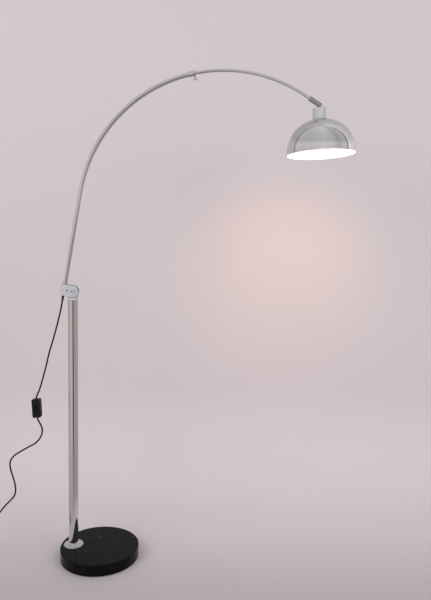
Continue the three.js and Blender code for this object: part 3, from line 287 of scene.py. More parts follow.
# Handled surfaces are shinier in some patches than in others.
marks, enter, leave = new_group(
    "handling_marks",
    [("Where", "NodeSocketVector", None), ("Scale", "NodeSocketFloat", 20.0),
     ("Smooth", "NodeSocketFloat", 0.2), ("Dull", "NodeSocketFloat", 0.4)],
    [("Roughness", "NodeSocketFloat")],
)
given = enter.outputs
cloud = joined(
    marks, "ShaderNodeTexNoise",
    {"Vector": given["Where"], "Scale": given["Scale"], "Detail": 6.0, "Roughness": 0.65},
)
spread = joined(
    marks, "ShaderNodeMapRange",
    {"Value": cloud.outputs[0], "From Min": 0.35, "From Max": 0.7, "To Min": given["Smooth"],
     "To Max": given["Dull"]},
)
marks.links.new(spread.outputs[0], leave.inputs["Roughness"])

# Moulded, cast, sprayed and polished skins are never quite flat.
unevenness, enter, leave = new_group(
    "uneven_skin",
    [("Where", "NodeSocketVector", None), ("Scale", "NodeSocketFloat", 200.0),
     ("Wave Scale", "NodeSocketFloat", 12.0), ("Wave", "NodeSocketFloat", 0.3)],
    [("Height", "NodeSocketFloat")],
)
given = enter.outputs
fine, broad = (
    joined(
        unevenness, "ShaderNodeTexNoise",
        {"Vector": given["Where"], "Scale": given[title], "Detail": detail},
    )
    for title, detail in (("Scale", 3.0), ("Wave Scale", 1.0))
)
mixed = joined(
    unevenness, "ShaderNodeMix", {0: given["Wave"], 2: fine.outputs[0], 3: broad.outputs[0]}
)
unevenness.links.new(mixed.outputs[0], leave.inputs["Height"])

# A few grains of dust or chips, each a small round spot, on some of the cells of a grid.
specks, enter, leave = new_group(
    "specks",
    [("Where", "NodeSocketVector", None), ("Scale", "NodeSocketFloat", 100.0),
     ("Size", "NodeSocketFloat", 0.12), ("Share", "NodeSocketFloat", 0.2)],
    [("Mask", "NodeSocketFloat")],
)
given = enter.outputs
cells = joined(
    specks, "ShaderNodeTexVoronoi", {"Vector": given["Where"], "Scale": given["Scale"]}
)
chance = joined(specks, "ShaderNodeSeparateColor", {0: cells.outputs["Color"]})
chosen = maths(specks, "LESS_THAN", chance.outputs[0], given["Share"])
grain_size = maths(specks, "MULTIPLY", chance.outputs[1], given["Size"])
spot = maths(specks, "LESS_THAN", cells.outputs["Distance"], grain_size)
specks.links.new(maths(specks, "MULTIPLY", chosen, spot), leave.inputs["Mask"])


def material(name, colour, metallic=0.0, marked=None, uneven=None, depth=0.0, speckled=None,
             speck_colour=(0.5, 0.5, 0.5), sockets=None):
    """A Principled material on Object coordinates: marked gives the roughness's scale and its two
    ends, uneven gives the scales of the skin, with depth in metres, and speckled its specks."""
    made = bpy.data.materials.new(name)
    made.use_nodes = True
    tree = made.node_tree
    shader = tree.nodes["Principled BSDF"]
    shader.inputs["Base Color"].default_value = (*colour, 1)
    shader.inputs["Metallic"].default_value = metallic
    for title, value in (sockets or {}).items():
        shader.inputs[title].default_value = value
    where = tree.nodes.new("ShaderNodeTexCoord").outputs["Object"]

    def effect(group, titles, values):
        """The output of a node group, with its own values."""
        inputs = {"Where": where, **dict(zip(titles, values))}
        return joined(tree, "ShaderNodeGroup", inputs, node_tree=group).outputs[0]

    if marked:
        roughness = effect(marks, ("Scale", "Smooth", "Dull"), marked)
        tree.links.new(roughness, shader.inputs["Roughness"])
    if uneven:
        height = effect(unevenness, ("Scale", "Wave Scale", "Wave"), uneven)
        values = {"Distance": depth, "Strength": 0.5, "Height": height}
        bump = joined(tree, "ShaderNodeBump", values)
        tree.links.new(bump.outputs[0], shader.inputs["Normal"])
    if speckled:
        mask = effect(specks, ("Scale", "Size", "Share"), speckled)
        colours = blended(tree, mask, (*colour, 1), (*speck_colour, 1))
        tree.links.new(colours, shader.inputs["Base Color"])
    return made


pvc = material(
    "black_pvc", (0.004, 0.004, 0.0045), marked=(60, 0.38, 0.58), uneven=(900, 60, 0.4),
    depth=0.0002, speckled=(260, 0.10, 0.10), speck_colour=(0.04, 0.04, 0.04),
    sockets={"Specular IOR Level": 0.3},
)
for lead in (upper_lead, lower_lead):
    lead.data.materials.append(pvc)

# ---- strain relief at the bracket ----------------------------------------------------------
# A soft black rubber sleeve with a flange, pushed into the bracket's underside. It thins towards
# its tip, with grooves round it, so that the lead bends gently.
PIVOT = np.array([-0.102, 0, 1.0344])
ARM_LEAN = math.radians(9.54)
ARM_OFFSET = 0.0332


def turned(profile, sides):
    """Turns a profile of radius and height round Z: radius times the turn's cosine and sine."""
    turn = np.arange(sides) * 2 * np.pi / sides
    radius, height = np.asarray(profile, float).T
    return np.stack(
        [
            radius[:, None] * np.cos(turn),
            radius[:, None] * np.sin(turn),
            np.broadcast_to(height[:, None], (len(radius), sides)),
        ],
        axis=-1,
    )


def placed(points, origin, lean, across=0.0):
    """Shifts points along X, turns them about Y so that +Z leans to +X, and moves them."""
    x, y, z = np.moveaxis(np.asarray(points, float), -1, 0)
    x = x + across
    turned_x = x * math.cos(lean) + z * math.sin(lean)
    turned_z = z * math.cos(lean) - x * math.sin(lean)
    return np.stack([turned_x, y, turned_z], axis=-1) + origin


def softened(corners, rounding, steps=5):
    """Replaces each corner of a closed outline by a curve from one edge to the next: a weighted
    mean of the curve's start, the corner and the curve's end."""
    p = np.asarray(corners, float)
    back, on = np.roll(p, 1, 0) - p, np.roll(p, -1, 0) - p
    back_length = np.linalg.norm(back, axis=1, keepdims=True)
    on_length = np.linalg.norm(on, axis=1, keepdims=True)
    most = 0.45 * np.minimum(back_length, on_length)
    trim = np.minimum(np.broadcast_to(rounding, len(p))[:, None], most)
    start, end = p + back / back_length * trim, p + on / on_length * trim
    t = np.linspace(0, 1, steps)[None, :, None]
    start, corner, end = start[:, None], p[:, None], end[:, None]
    return ((1 - t) ** 2 * start + 2 * t * (1 - t) * corner + t**2 * end).reshape(-1, 2)


def ribbed_sleeve(thin, thick, length, grooves, groove_depth):
    """A taper from thin to thick over its length. The radius dips by the groove's depth where a
    cosine of the distance is high."""
    along = np.linspace(0, 1, 90)
    dip = np.clip(np.cos(2 * np.pi * grooves * along - np.pi) * 1.6 - 0.3, 0, 1)
    dip = dip * ease(np.minimum(along, 1 - along) * 12)
    return np.stack([thin + (thick - thin) * along - groove_depth * dip, length * along], axis=1)


# Heights here run along the arm's foot, from the pivot: the bracket's underside is the first.
UNDERSIDE, SEAT_GAP, FLANGE, SLEEVE = -0.0215, 0.0003, 0.0016, 0.022
SPIGOT_TOP = -0.0145
gland_low = UNDERSIDE - SEAT_GAP - FLANGE - SLEEVE
flange_top = gland_low + (SLEEVE + FLANGE)
sleeve = ribbed_sleeve(0.0035, 0.0048, SLEEVE, 5, 0.0007) + [0, gland_low]
flange = softened(
    [(0.0062, gland_low + SLEEVE), (0.0062, flange_top), (0.0042, flange_top),
     (0.0042, SPIGOT_TOP), (0, SPIGOT_TOP)], [0.0005, 0.0004, 0, 0, 0],
)
gland = skin(
    "strain_relief",
    placed(turned(np.vstack([[(0, gland_low), (0.0030, gland_low)], sleeve, flange]), 40),
           PIVOT, ARM_LEAN, -ARM_OFFSET),
    body="arm", stands_for=["cord_gland"],
)
rubber = material(
    "black_rubber", (0.005, 0.005, 0.005), marked=(90, 0.5, 0.7), uneven=(1200, 90, 0.3),
    depth=0.0002, speckled=(300, 0.12, 0.12), speck_colour=(0.05, 0.05, 0.05),
    sockets={"Specular IOR Level": 0.3},
)
gland.data.materials.append(rubber)

# ---- inline switch -------------------------------------------------------------------------
# Two half shells moulded in black ABS, with chamfered ends, screwed together from the back. The
# rocker stands a little proud of the front, one end down.


def finished(name, node, width, body, segments=3, sharp=32):
    """A copy of a node with its doubles merged, its flat faces joined and its edges rounded."""
    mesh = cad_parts[node].data.copy()
    mesh.name = name
    mesh.materials.clear()
    for attribute in [a.name for a in mesh.attributes if a.name == "custom_normal"]:
        mesh.attributes.remove(mesh.attributes[attribute])
    shape = bmesh.new()
    shape.from_mesh(mesh)
    bmesh.ops.remove_doubles(shape, verts=shape.verts, dist=2e-6)
    bmesh.ops.dissolve_limit(
        shape, angle_limit=math.radians(0.6), verts=shape.verts, edges=shape.edges
    )
    shape.to_mesh(mesh)
    shape.free()
    mesh.polygons.foreach_set("use_smooth", np.ones(len(mesh.polygons), bool))
    mesh.set_sharp_from_angle(angle=math.radians(sharp))
    made = piece(name, mesh, body, [node])
    bevel = made.modifiers.new("eased edges", "BEVEL")
    bevel.width = width
    bevel.segments = segments
    bevel.limit_method = "ANGLE"
    bevel.angle_limit = math.radians(sharp)
    bevel.use_clamp_overlap = True
    bevel.harden_normals = True
    return made


abs_plastic = material(
    "black_abs", (0.005, 0.005, 0.006), marked=(45, 0.36, 0.52), uneven=(1500, 40, 0.15),
    depth=0.00015, speckled=(220, 0.10, 0.10), speck_colour=(0.05, 0.05, 0.05),
    sockets={"Specular IOR Level": 0.3},
)
for title, node in (("switch_front", "switch_shell_front"), ("switch_back", "switch_shell_back")):
    finished(title, node, 0.0009, "base").data.materials.append(abs_plastic)
rocker = finished("rocker", "switch_rocker", 0.0004, "rocker")
rocker.data.materials.append(
    material("rocker_abs", (0.016, 0.016, 0.017), marked=(80, 0.22, 0.4), uneven=(900, 60, 0.3),
             depth=0.0001)
)
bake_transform(upper_lead, "arm", "base", start=(-0.1424, 0, 0.985), end=(-0.18, 0, 0.84))

# ---- plug ----------------------------------------------------------------------------------
# A flat two-pin plug moulded in black PVC round its pins, with a ribbed strain relief.
plug_body = finished("plug_shell", "plug_body", 0.0008, "base")
plug_body.data.materials.append(abs_plastic)
RELIEF = 0.025
relief = np.vstack(
    [[(0, 0), (0.0030, 0)], ribbed_sleeve(0.0035, 0.0054, RELIEF, 6, 0.0008), [(0, RELIEF)]]
)
plug_relief = skin(
    "plug_relief",
    placed(turned(relief, 40), np.array([-0.4324, -0.139, 0.007]), math.pi / 2),
    body="base", stands_for=["plug_strain_relief"],
)
plug_relief.data.materials.append(rubber)

# ---- base stone ----------------------------------------------------------------------------
# A disc of polished black marble, 300 mm across and 43 mm thick, with a rounded upper edge and a
# few pale grains, placed at random. It stands on a black foam pad glued to its underside.
stone_profile = softened(
    [(0, 0.0023), (0.1485, 0.0023), (0.150, 0.0038), (0.150, 0.0052), (0.150, 0.0395),
     (0.150, 0.045), (0.1445, 0.045), (0, 0.045)],
    [0, 0.0005, 0.0005, 0, 0, 0.0045, 0, 0], steps=9,
)
stone = skin(
    "stone", turned(stone_profile, 224), body="base", stands_for=["base_marble"],
    sharp=50,
)
marble = material(
    "black_marble", (0.0015, 0.0012, 0.0014), marked=(14, 0.06, 0.14), uneven=(260, 5, 0.5),
    depth=0.00005, speckled=(60, 0.20, 0.16), speck_colour=(0.12, 0.115, 0.11),
    sockets={"Specular IOR Level": 0.11},
)
tree = marble.node_tree
seams = joined(
    tree, "ShaderNodeTexNoise",
    {"Vector": tree.nodes["Texture Coordinate"].outputs["Object"], "Scale": 7.0, "Detail": 9.0,
     "Roughness": 0.62, "Distortion": 1.4},
)
# Near black, with a thin paler vein, running to a little less black.
TONES = [
    (0.30, (0.0012, 0.0009, 0.0011)), (0.50, (0.0020, 0.0016, 0.0018)),
    (0.515, (0.0075, 0.0066, 0.0066)), (0.53, (0.0022, 0.0018, 0.0020)),
    (0.72, (0.0042, 0.0034, 0.0036)),
]
tree.links.new(bands(tree, seams.outputs[0], TONES), tree.nodes["Mix"].inputs[6])
stone.data.materials.append(marble)

foam = material(
    "black_foam", (0.018, 0.018, 0.018), marked=(120, 0.85, 1.0), uneven=(1600, 300, 0.4),
    depth=0.0006,
)

# ---- post ----------------------------------------------------------------------------------
# A chromed steel tube, 36 mm across, that stands in a chromed rose and is bolted down through the
# stone. The plating mirrors the room, with soft patches where it has been handled.
POST_AT = np.array([-0.102, 0, 0])
rose_profile = softened(
    [(0.01835, 0.0453), (0.037, 0.0453), (0.037, 0.0479), (0.0212, 0.0479), (0.01835, 0.0494)],
    [0, 0.0003, 0.0012, 0.0015, 0], steps=7,
)
rose = skin(
    "post_rose", turned(rose_profile, 128) + POST_AT, loop=True, body="base",
    stands_for=["base_flange"], sharp=50,
)
# The rings close to its ends keep the rounded lips from tilting the long wall's smooth shading.
tube_profile = softened(
    [(0.0168, 0.0453), (0.018, 0.0453), (0.018, 0.0463), (0.018, 1.0013), (0.018, 1.0023),
     (0.0168, 1.0023), (0.0168, 1.0013), (0.0168, 0.0463)],
    [0.0004, 0.0004, 0, 0, 0.0004, 0.0004, 0, 0], steps=4,
)
post = skin(
    "post", turned(tube_profile, 112) + POST_AT, loop=True, body="base",
    stands_for=["post_tube"], sharp=50,
)
chrome = material(
    "chrome_plate", (0.78, 0.775, 0.79), metallic=1.0, marked=(9, 0.035, 0.10),
    uneven=(40, 6, 0.7), depth=0.00002,
)
for plated in (rose, post):
    plated.data.materials.append(chrome)

# ---- tilting joint -------------------------------------------------------------------------
# The post's cast head carries a tongue. The arm's cast bracket is a fork round it, clamped by a
# bolt with a round cap, and a small stop screw beside it limits the tilt. Both are sprayed silver.
post_cap = finished("post_cap", "post_head", 0.0007, "base")
bracket = finished("bracket", "arm_bracket", 0.0014, "arm", segments=4)
bolt_cap = finished("bolt_cap", "pivot_bolt", 0.0007, "arm")
cast = material(
    "sprayed_casting", (0.60, 0.61, 0.64), metallic=0.25, marked=(30, 0.36, 0.5),
    uneven=(700, 25, 0.25), depth=0.0003,
)
# Near black: the stop screw's own black oxide, and painted shade in the fork's gap and the bolt's socket.
oxide_and_painted_shade = material(
    "black_oxide_and_painted_shade", (0.008, 0.006, 0.006), marked=(60, 0.6, 0.8), uneven=(600, 60, 0.4),
    depth=0.0001, sockets={"Specular IOR Level": 0.15},
)
for part in (post_cap, bracket, bolt_cap):
    part.data.materials.append(cast)
    part.data.materials.append(oxide_and_painted_shade)


def face_values(mesh, title):
    """The center or the normal of every face, as one array."""
    values = np.empty(len(mesh.polygons) * 3)
    mesh.polygons.foreach_get(title, values)
    return values.reshape(-1, 3)


def second_material(made, chosen):
    """Gives the chosen faces the second of a piece's materials."""
    made.data.polygons.foreach_set("material_index", chosen.astype(np.int32))


# The tongue's rim, the fork's inside round it and the bolt's socket take the near-black second material:
# painted shade in the gap between the cheeks and in the socket's hollow.
SHADED_RIM_FROM, SHADED_RIM_LOW = 0.014, -0.010
SHADED_FORK_HALF, SHADED_FORK_BACK = 0.0058, -0.030
SHADED_SOCKET_RADIUS, SHADED_SOCKET_FRONT = 0.0029, -0.0165
places = face_values(post_cap.data, "center") - PIVOT
from_pivot = np.hypot(places[:, 0], places[:, 2])
second_material(post_cap, (places[:, 2] > SHADED_RIM_LOW) & (from_pivot > SHADED_RIM_FROM))
places = face_values(bracket.data, "center") - PIVOT
second_material(bracket, (np.abs(places[:, 1]) < SHADED_FORK_HALF) & (places[:, 0] > SHADED_FORK_BACK))
places = face_values(bolt_cap.data, "center") - PIVOT
from_pivot = np.hypot(places[:, 0], places[:, 2])
second_material(bolt_cap, (from_pivot < SHADED_SOCKET_RADIUS) & (places[:, 1] > SHADED_SOCKET_FRONT))

# ---- arm -----------------------------------------------------------------------------------
# A chromed 16 mm tube, straight and then bent to an arc. A 12 mm tube of the same arc slides in
# it, and a turned collar with a ribbed thumb screw locks the two.
ARC_RADIUS = 0.5385
ARC_HEIGHT = 0.3617
ARC_CENTRE = np.array([ARC_RADIUS - ARM_OFFSET, 0, ARC_HEIGHT])
LOWER_END = math.radians(67.3)
UPPER_ENDS = (math.radians(54), math.radians(112.5))


def arm_line(distance, first, last):
    """The arm's centre line at a distance from where it meets its arc: straight before it, along
    the tangent after it, and on it the arc's centre less its radius times the angle's cosine."""
    distance = np.asarray(distance, float)
    on_arc = np.clip(distance, 0, ARC_RADIUS * (last - first))
    angle = first + on_arc / ARC_RADIUS
    zero = np.zeros_like(angle)
    outward = np.stack([-np.cos(angle), zero, np.sin(angle)], axis=-1)
    ahead = np.stack([np.sin(angle), zero, np.cos(angle)], axis=-1)
    return ARC_CENTRE + ARC_RADIUS * outward + (distance - on_arc)[:, None] * ahead, ahead


def arm_skin(distance, radius, first, last, sides):
    """Rings round the arm's centre line, with one distance and one radius for each ring."""
    centre, ahead = arm_line(distance, first, last)
    turn = np.arange(sides) * 2 * np.pi / sides
    side = np.array([0.0, 1.0, 0.0])
    up = np.cross(ahead, side)
    ring = np.cos(turn)[None, :, None] * side + np.sin(turn)[None, :, None] * up[:, None]
    rings = centre[:, None] + np.asarray(radius)[:, None, None] * ring
    return placed(rings, PIVOT, ARM_LEAN)


def open_tube(start, end, radius, wall, stations):
    """Distances and radii of a tube's outside, its rounded end, and its inside back again."""
    out = np.linspace(start + 0.0003, end - 0.0003, stations)
    lip = np.array([end - 0.00008, end, end])
    lip_radius = np.array([radius - 0.00008, radius - 0.0003, radius - wall])
    back = out[::-4]
    distance = np.concatenate([[start, start], out, lip, back, [start]])
    outside = np.full(stations, radius)
    inside = np.full(len(back) + 1, radius - wall)
    radii = np.concatenate([[radius - wall, radius - 0.0003], outside, lip_radius, inside])
    return distance, radii


TUBE_SEAT = -0.0115
TUBE_WALL = 0.0008
TIP_LENGTH = 0.039
lower_arm = skin(
    "arm_lower",
    arm_skin(*open_tube(TUBE_SEAT - ARC_HEIGHT, ARC_RADIUS * LOWER_END, 0.008, TUBE_WALL, 150),
             0.0, LOWER_END, 48),
    loop=True, body="arm", stands_for=["lower_arm_tube"], sharp=60,
)
lower_arm.data.materials.append(chrome)
upper_length = ARC_RADIUS * (UPPER_ENDS[1] - UPPER_ENDS[0])
upper_arm = skin(
    "arm_upper",
    arm_skin(*open_tube(0, upper_length + TIP_LENGTH, 0.006, TUBE_WALL, 110), *UPPER_ENDS, 40),
    loop=True, body="upper_arm", stands_for=["upper_arm_tube"], sharp=60,
)
upper_arm.data.materials.append(chrome)

collar_centre, collar_ahead = arm_line([ARC_RADIUS * LOWER_END], 0.0, LOWER_END)
collar_origin = placed(collar_centre[0], PIVOT, ARM_LEAN)
collar_lean = ARM_LEAN + LOWER_END
collar_profile = softened(
    [(0.0085, -0.018), (0.0098, -0.018), (0.0098, 0.0002), (0.0115, 0.0006), (0.0115, 0.0098),
     (0.0066, 0.0098), (0.0066, 0.0003), (0.0085, 0.0003)],
    [0, 0.0007, 0.0004, 0.0006, 0.0009, 0.0004, 0, 0], steps=6,
)
collar = skin(
    "collar", placed(turned(collar_profile, 72), collar_origin, collar_lean), loop=True,
    body="arm", stands_for=["lock_collar"], sharp=50,
)
collar.data.materials.append(chrome)

# The screw's head has sixteen ribs: its radius follows a cosine of the turn.
screw_profile = softened(
    [(0, 0.0063), (0.0025, 0.0063), (0.0025, 0.0118), (0.0037, 0.0118), (0.0037, 0.0148),
     (0.0056, 0.0148), (0.0061, 0.0156), (0.0061, 0.0230), (0.0054, 0.0238), (0, 0.0238)],
    [0, 0, 0, 0.0003, 0.0002, 0.0003, 0.0005, 0.0005, 0.0004, 0], steps=5,
)
RIBS, RIB_DEPTH, RIBBED_SIDES = 16, 0.00025, 192
screw_grid = turned(screw_profile, RIBBED_SIDES)
ribs = RIB_DEPTH * np.cos(RIBS * np.arange(RIBBED_SIDES) * 2 * np.pi / RIBBED_SIDES)
on_head = ease((screw_profile[:, 0] - 0.0050) / 0.001)[:, None]
swell = 1 + on_head * ribs[None, :] / np.maximum(screw_profile[:, :1], 1e-4)
screw_grid[..., 0] *= swell
screw_grid[..., 1] *= swell
collar_along = placed([0, 0, 0.0053], collar_origin, collar_lean)
thumb = skin(
    "thumb_screw_head", placed(screw_grid, collar_along, collar_lean + math.pi / 2),
    body="thumb", stands_for=["thumb_screw"], sharp=50,
)
thumb.data.materials.append(chrome)

# ---- tip -----------------------------------------------------------------------------------
# A turned sleeve on the arm's end, slotted for the lamp head's tongue, which swings on a pin.
tip = finished("tip", "tip_sleeve", 0.0005, "upper_arm", sharp=40)
tongue = finished("head_tongue", "knuckle_tongue", 0.0005, "lamp_head", sharp=40)
nickel = material(
    "dark_nickel", (0.47, 0.46, 0.455), metallic=1.0, marked=(70, 0.05, 0.12),
    uneven=(500, 40, 0.4), depth=0.00008,
)
tip.data.materials.append(nickel)
tongue.data.materials.append(nickel)

# ---- lamp head -----------------------------------------------------------------------------
# A chromed cup covers the top of the porcelain lampholder. The holder carries a dome spun from thin
# steel, chromed outside and enamelled white inside, with a rolled lip.
KNUCKLE = np.array([0.797038, 0, 1.729343])
HEAD_LEAN = math.radians(-3.4)
CUP_TOP = -0.0117
CUP_RADIUS = 0.0279
CUP_WALL = 0.001
CUP_LOW = CUP_TOP - 0.039
SHADE_RADIUS = 0.125
SHADE_WALL = 0.0008
SHADE_RISE = 0.1135
HOLE_RADIUS = 0.0201
SKIRT_TOP = CUP_LOW - 0.0004 - SHADE_RISE * math.sqrt(
    1 - ((CUP_RADIUS - CUP_WALL) / SHADE_RADIUS) ** 2
)
RIM = SKIRT_TOP - 0.014


def on_head_frame(profile, sides):
    """A turned profile stood on the lamp head's own axis, with heights from the knuckle."""
    return placed(turned(profile, sides), KNUCKLE, HEAD_LEAN)


cup_profile = softened(
    [(CUP_RADIUS - CUP_WALL, CUP_LOW), (CUP_RADIUS, CUP_LOW), (CUP_RADIUS, CUP_LOW + 0.0008),
     (CUP_RADIUS, CUP_TOP - 0.0050), (CUP_RADIUS, CUP_TOP), (0.0055, CUP_TOP),
     (0.0055, CUP_TOP - CUP_WALL), (CUP_RADIUS - CUP_WALL, CUP_TOP - CUP_WALL)],
    [0.0003, 0.0003, 0, 0, 0.0042, 0.0002, 0.0002, 0.0032], steps=9,
)
cup = skin(
    "cup", on_head_frame(cup_profile, 96), loop=True, body="lamp_head",
    stands_for=["socket_cup"], sharp=55,
)
cup.data.materials.append(chrome)

# The dome's section is a quarter ellipse on an upright skirt. The lip is a small half circle.
quarter = np.linspace(0, math.acos(HOLE_RADIUS / SHADE_RADIUS), 72)
inner_quarter = np.linspace(0, math.acos(HOLE_RADIUS / (SHADE_RADIUS - SHADE_WALL)), 72)
outside = np.stack(
    [SHADE_RADIUS * np.cos(quarter), SKIRT_TOP + SHADE_RISE * np.sin(quarter)], axis=1
)
inside = np.stack(
    [
        (SHADE_RADIUS - SHADE_WALL) * np.cos(inner_quarter),
        SKIRT_TOP + (SHADE_RISE - SHADE_WALL) * np.sin(inner_quarter),
    ],
    axis=1,
)[::-1]
LIP_RADIUS, LIP_INSET = 0.0010, 0.0007
half_turn = np.linspace(-math.pi, 0, 9)
lip = np.stack(
    [
        SHADE_RADIUS - LIP_INSET + LIP_RADIUS * np.cos(half_turn),
        RIM + LIP_RADIUS + LIP_RADIUS * np.sin(half_turn),
    ],
    axis=1,
)
skirt_steps = np.linspace(0.3, 0.9, 4)[:, None]
skirt_out = np.array([[SHADE_RADIUS, RIM]]) + skirt_steps * [[0, SKIRT_TOP - RIM]]
skirt_in = skirt_out[::-1] - [[SHADE_WALL, 0]]
dome_profile = np.vstack([lip, skirt_out, outside, inside, skirt_in])
dome = skin(
    "dome", on_head_frame(dome_profile, 176), loop=True, body="lamp_head",
    stands_for=["dome_shade"], sharp=60,
)
enamel = material(
    "white_enamel", (0.86, 0.845, 0.80), marked=(25, 0.22, 0.36), uneven=(180, 14, 0.5),
    depth=0.0002, sockets={"Coat Weight": 0.3, "Coat Roughness": 0.12},
)
spun = chrome.copy()
spun.name = "spun_chrome"
tree = spun.node_tree
centring = joined(
    tree, "ShaderNodeMapping",
    {"Vector": tree.nodes["Texture Coordinate"].outputs["Object"], "Location": KNUCKLE,
     "Rotation": (0, HEAD_LEAN, 0)},
    vector_type="TEXTURE",
)
rings = joined(
    tree, "ShaderNodeTexWave",
    {"Vector": centring.outputs[0], "Scale": 90.0, "Distortion": 0.6, "Detail": 2.0},
    bands_direction="Z",
)
spinning = joined(
    tree, "ShaderNodeBump",
    {"Distance": 0.000004, "Strength": 0.4, "Height": rings.outputs["Fac"],
     "Normal": tree.nodes["Bump"].outputs[0]},
)
tree.links.new(spinning.outputs[0], tree.nodes["Principled BSDF"].inputs["Normal"])
dome.data.materials.append(spun)
dome.data.materials.append(enamel)
# The inside takes the enamel: there a face's normal points back to the dome's middle.
axis_up = np.array([math.sin(HEAD_LEAN), 0, math.cos(HEAD_LEAN)])
normals = face_values(dome.data, "normal")
from_knuckle = face_values(dome.data, "center") - KNUCKLE
up_axis = from_knuckle @ axis_up
outwards = from_knuckle - up_axis[:, None] * axis_up
facing = (normals * unit(outwards)).sum(axis=1)
upwards = normals @ axis_up
is_inside = (facing * np.linalg.norm(outwards, axis=1) + upwards * (up_axis - SKIRT_TOP)) < 0
second_material(dome, is_inside)

# ---- lampholder and bulb -------------------------------------------------------------------
# A white porcelain holder, a threaded ring of the same that clamps the dome from below, and an
# opal glass globe bulb with a nickel-plated brass screw cap. The bulb is lit, with a warm light.
HOLDER_RADIUS, HOLDER_BORE = 0.0195, 0.0136
WIRE_BORE, CONTACT_BORE, WELL = 0.0053, 0.003, CUP_TOP - 0.023
HOLDER_TOP = CUP_TOP - 0.010
HOLDER_LOW = HOLDER_TOP - 0.066
BORE_TOP = HOLDER_LOW + 0.033
shoulder = SKIRT_TOP + SHADE_RISE * math.sqrt(1 - (HOLE_RADIUS / SHADE_RADIUS) ** 2) + 0.0003
holder_profile = softened(
    [(HOLDER_BORE, HOLDER_LOW), (HOLDER_RADIUS, HOLDER_LOW), (HOLDER_RADIUS, shoulder),
     (0.0229, shoulder), (0.0229, shoulder + 0.0036), (0.0175, shoulder + 0.0036),
     (0.0145, HOLDER_TOP), (WIRE_BORE, HOLDER_TOP), (WIRE_BORE, WELL), (CONTACT_BORE, WELL),
     (CONTACT_BORE, BORE_TOP), (HOLDER_BORE, BORE_TOP)],
    [0.001, 0.0014, 0, 0.0006, 0.0008, 0.0006, 0.001, 0.0004, 0, 0, 0, 0], steps=5,
)
holder = skin(
    "holder", on_head_frame(holder_profile, 64), loop=True, body="lamp_head",
    stands_for=["lampholder"], sharp=45,
)
RING_RADIUS, RING_BORE, RING_DEPTH, GRIPS = 0.026, 0.0198, 0.006, 24
ring_top = (
    SKIRT_TOP
    + (SHADE_RISE - SHADE_WALL)
    * math.sqrt(1 - (RING_RADIUS / (SHADE_RADIUS - SHADE_WALL)) ** 2)
    - 0.0006
)
ring_profile = softened(
    [(RING_BORE, ring_top - RING_DEPTH), (RING_RADIUS, ring_top - RING_DEPTH),
     (RING_RADIUS, ring_top), (RING_BORE, ring_top)],
    0.0009, steps=5,
)
# Shallow grooves for the fingers cut into the ring's outside.
ring_grid = turned(ring_profile, RIBBED_SIDES)
around_ring = np.cos(GRIPS * np.arange(RIBBED_SIDES) * 2 * np.pi / RIBBED_SIDES)
grip = 1 - 0.012 * np.clip(around_ring * 2, 0, 1)
outer_part = ease((ring_profile[:, 0] - 0.0225) / 0.002)[:, None]
ring_grid[..., :2] *= (1 - outer_part * (1 - grip[None, :]))[..., None]
clamp_ring = skin(
    "clamp_ring", placed(ring_grid, KNUCKLE, HEAD_LEAN), loop=True, body="lamp_head",
    stands_for=["shade_ring"], sharp=45,
)
porcelain = material(
    "glazed_porcelain", (0.84, 0.83, 0.79), marked=(40, 0.12, 0.24), uneven=(120, 20, 0.5),
    depth=0.0003, sockets={"Coat Weight": 0.5, "Coat Roughness": 0.06},
)
holder.data.materials.append(porcelain)
clamp_ring.data.materials.append(porcelain)

CAP_TOP = BORE_TOP - 0.0003 - 0.001 - 0.0003
CAP_LOW = CAP_TOP - 0.025
along = np.linspace(0, 1, 60)
CAP_RADIUS, THREAD_DEPTH, THREADS = 0.013, 0.0009, 5
groove = 0.5 + 0.5 * np.cos(2 * np.pi * THREADS * along)
thread = CAP_RADIUS - THREAD_DEPTH * groove * ease(along * 10)
thread_part = np.stack([thread, CAP_LOW + 0.020 * along], axis=1)
cap_profile = np.vstack(
    [
        [(0, CAP_LOW + 0.017), (0.0118, CAP_LOW + 0.017), (0.0118, CAP_LOW)],
        thread_part,
        [(0.0105, CAP_TOP - 0.004), (0.0055, CAP_TOP - 0.0008), (0.0050, CAP_TOP), (0, CAP_TOP)],
    ]
)
bulb_cap = skin(
    "screw_cap", on_head_frame(cap_profile, 64), body="lamp_head", stands_for=["bulb_cap"],
    sharp=45,
)
plated = material(
    "plated_brass", (0.66, 0.62, 0.54), metallic=1.0, marked=(80, 0.22, 0.42),
    uneven=(600, 40, 0.4), depth=0.0001,
)
bulb_cap.data.materials.append(plated)

# The globe and its neck: a circle up to the neck, then an eased line in to the cap.
GLOBE = CAP_LOW - 0.048
GLOBE_RADIUS = 0.030
sweep = np.linspace(-math.pi / 2, math.radians(44), 40)
globe = np.stack(
    [GLOBE_RADIUS * np.cos(sweep), GLOBE + GLOBE_RADIUS * np.sin(sweep)], axis=1
)
rise = np.linspace(0, 1, 16)[1:]
neck_from, neck_to = globe[-1], np.array([0.0114, CAP_LOW + 0.004])
neck_out = neck_from[0] + (neck_to[0] - neck_from[0]) * (1 - (1 - rise) ** 2.2)
neck = np.stack([neck_out, neck_from[1] + (neck_to[1] - neck_from[1]) * rise], axis=1)
glass_outside = np.vstack([globe, neck])
glass_inside = glass_outside[::-1] * [0.965, 1]
glass_inside[:, 1] = GLOBE + (glass_inside[:, 1] - GLOBE) * np.where(
    glass_inside[:, 1] < GLOBE, 0.97, 1.0
)
bulb = skin(
    "bulb", on_head_frame(np.vstack([glass_outside, glass_inside]), 72), body="lamp_head",
    stands_for=["bulb_glass"], sharp=60,
)
opal = material(
    "lit_opal_glass", (0.95, 0.92, 0.85), marked=(30, 0.18, 0.28), uneven=(60, 10, 0.5),
    depth=0.0001,
    sockets={"Emission Color": (1.0, 0.80, 0.55, 1), "Emission Strength": 6.0},
)
bulb.data.materials.append(opal)
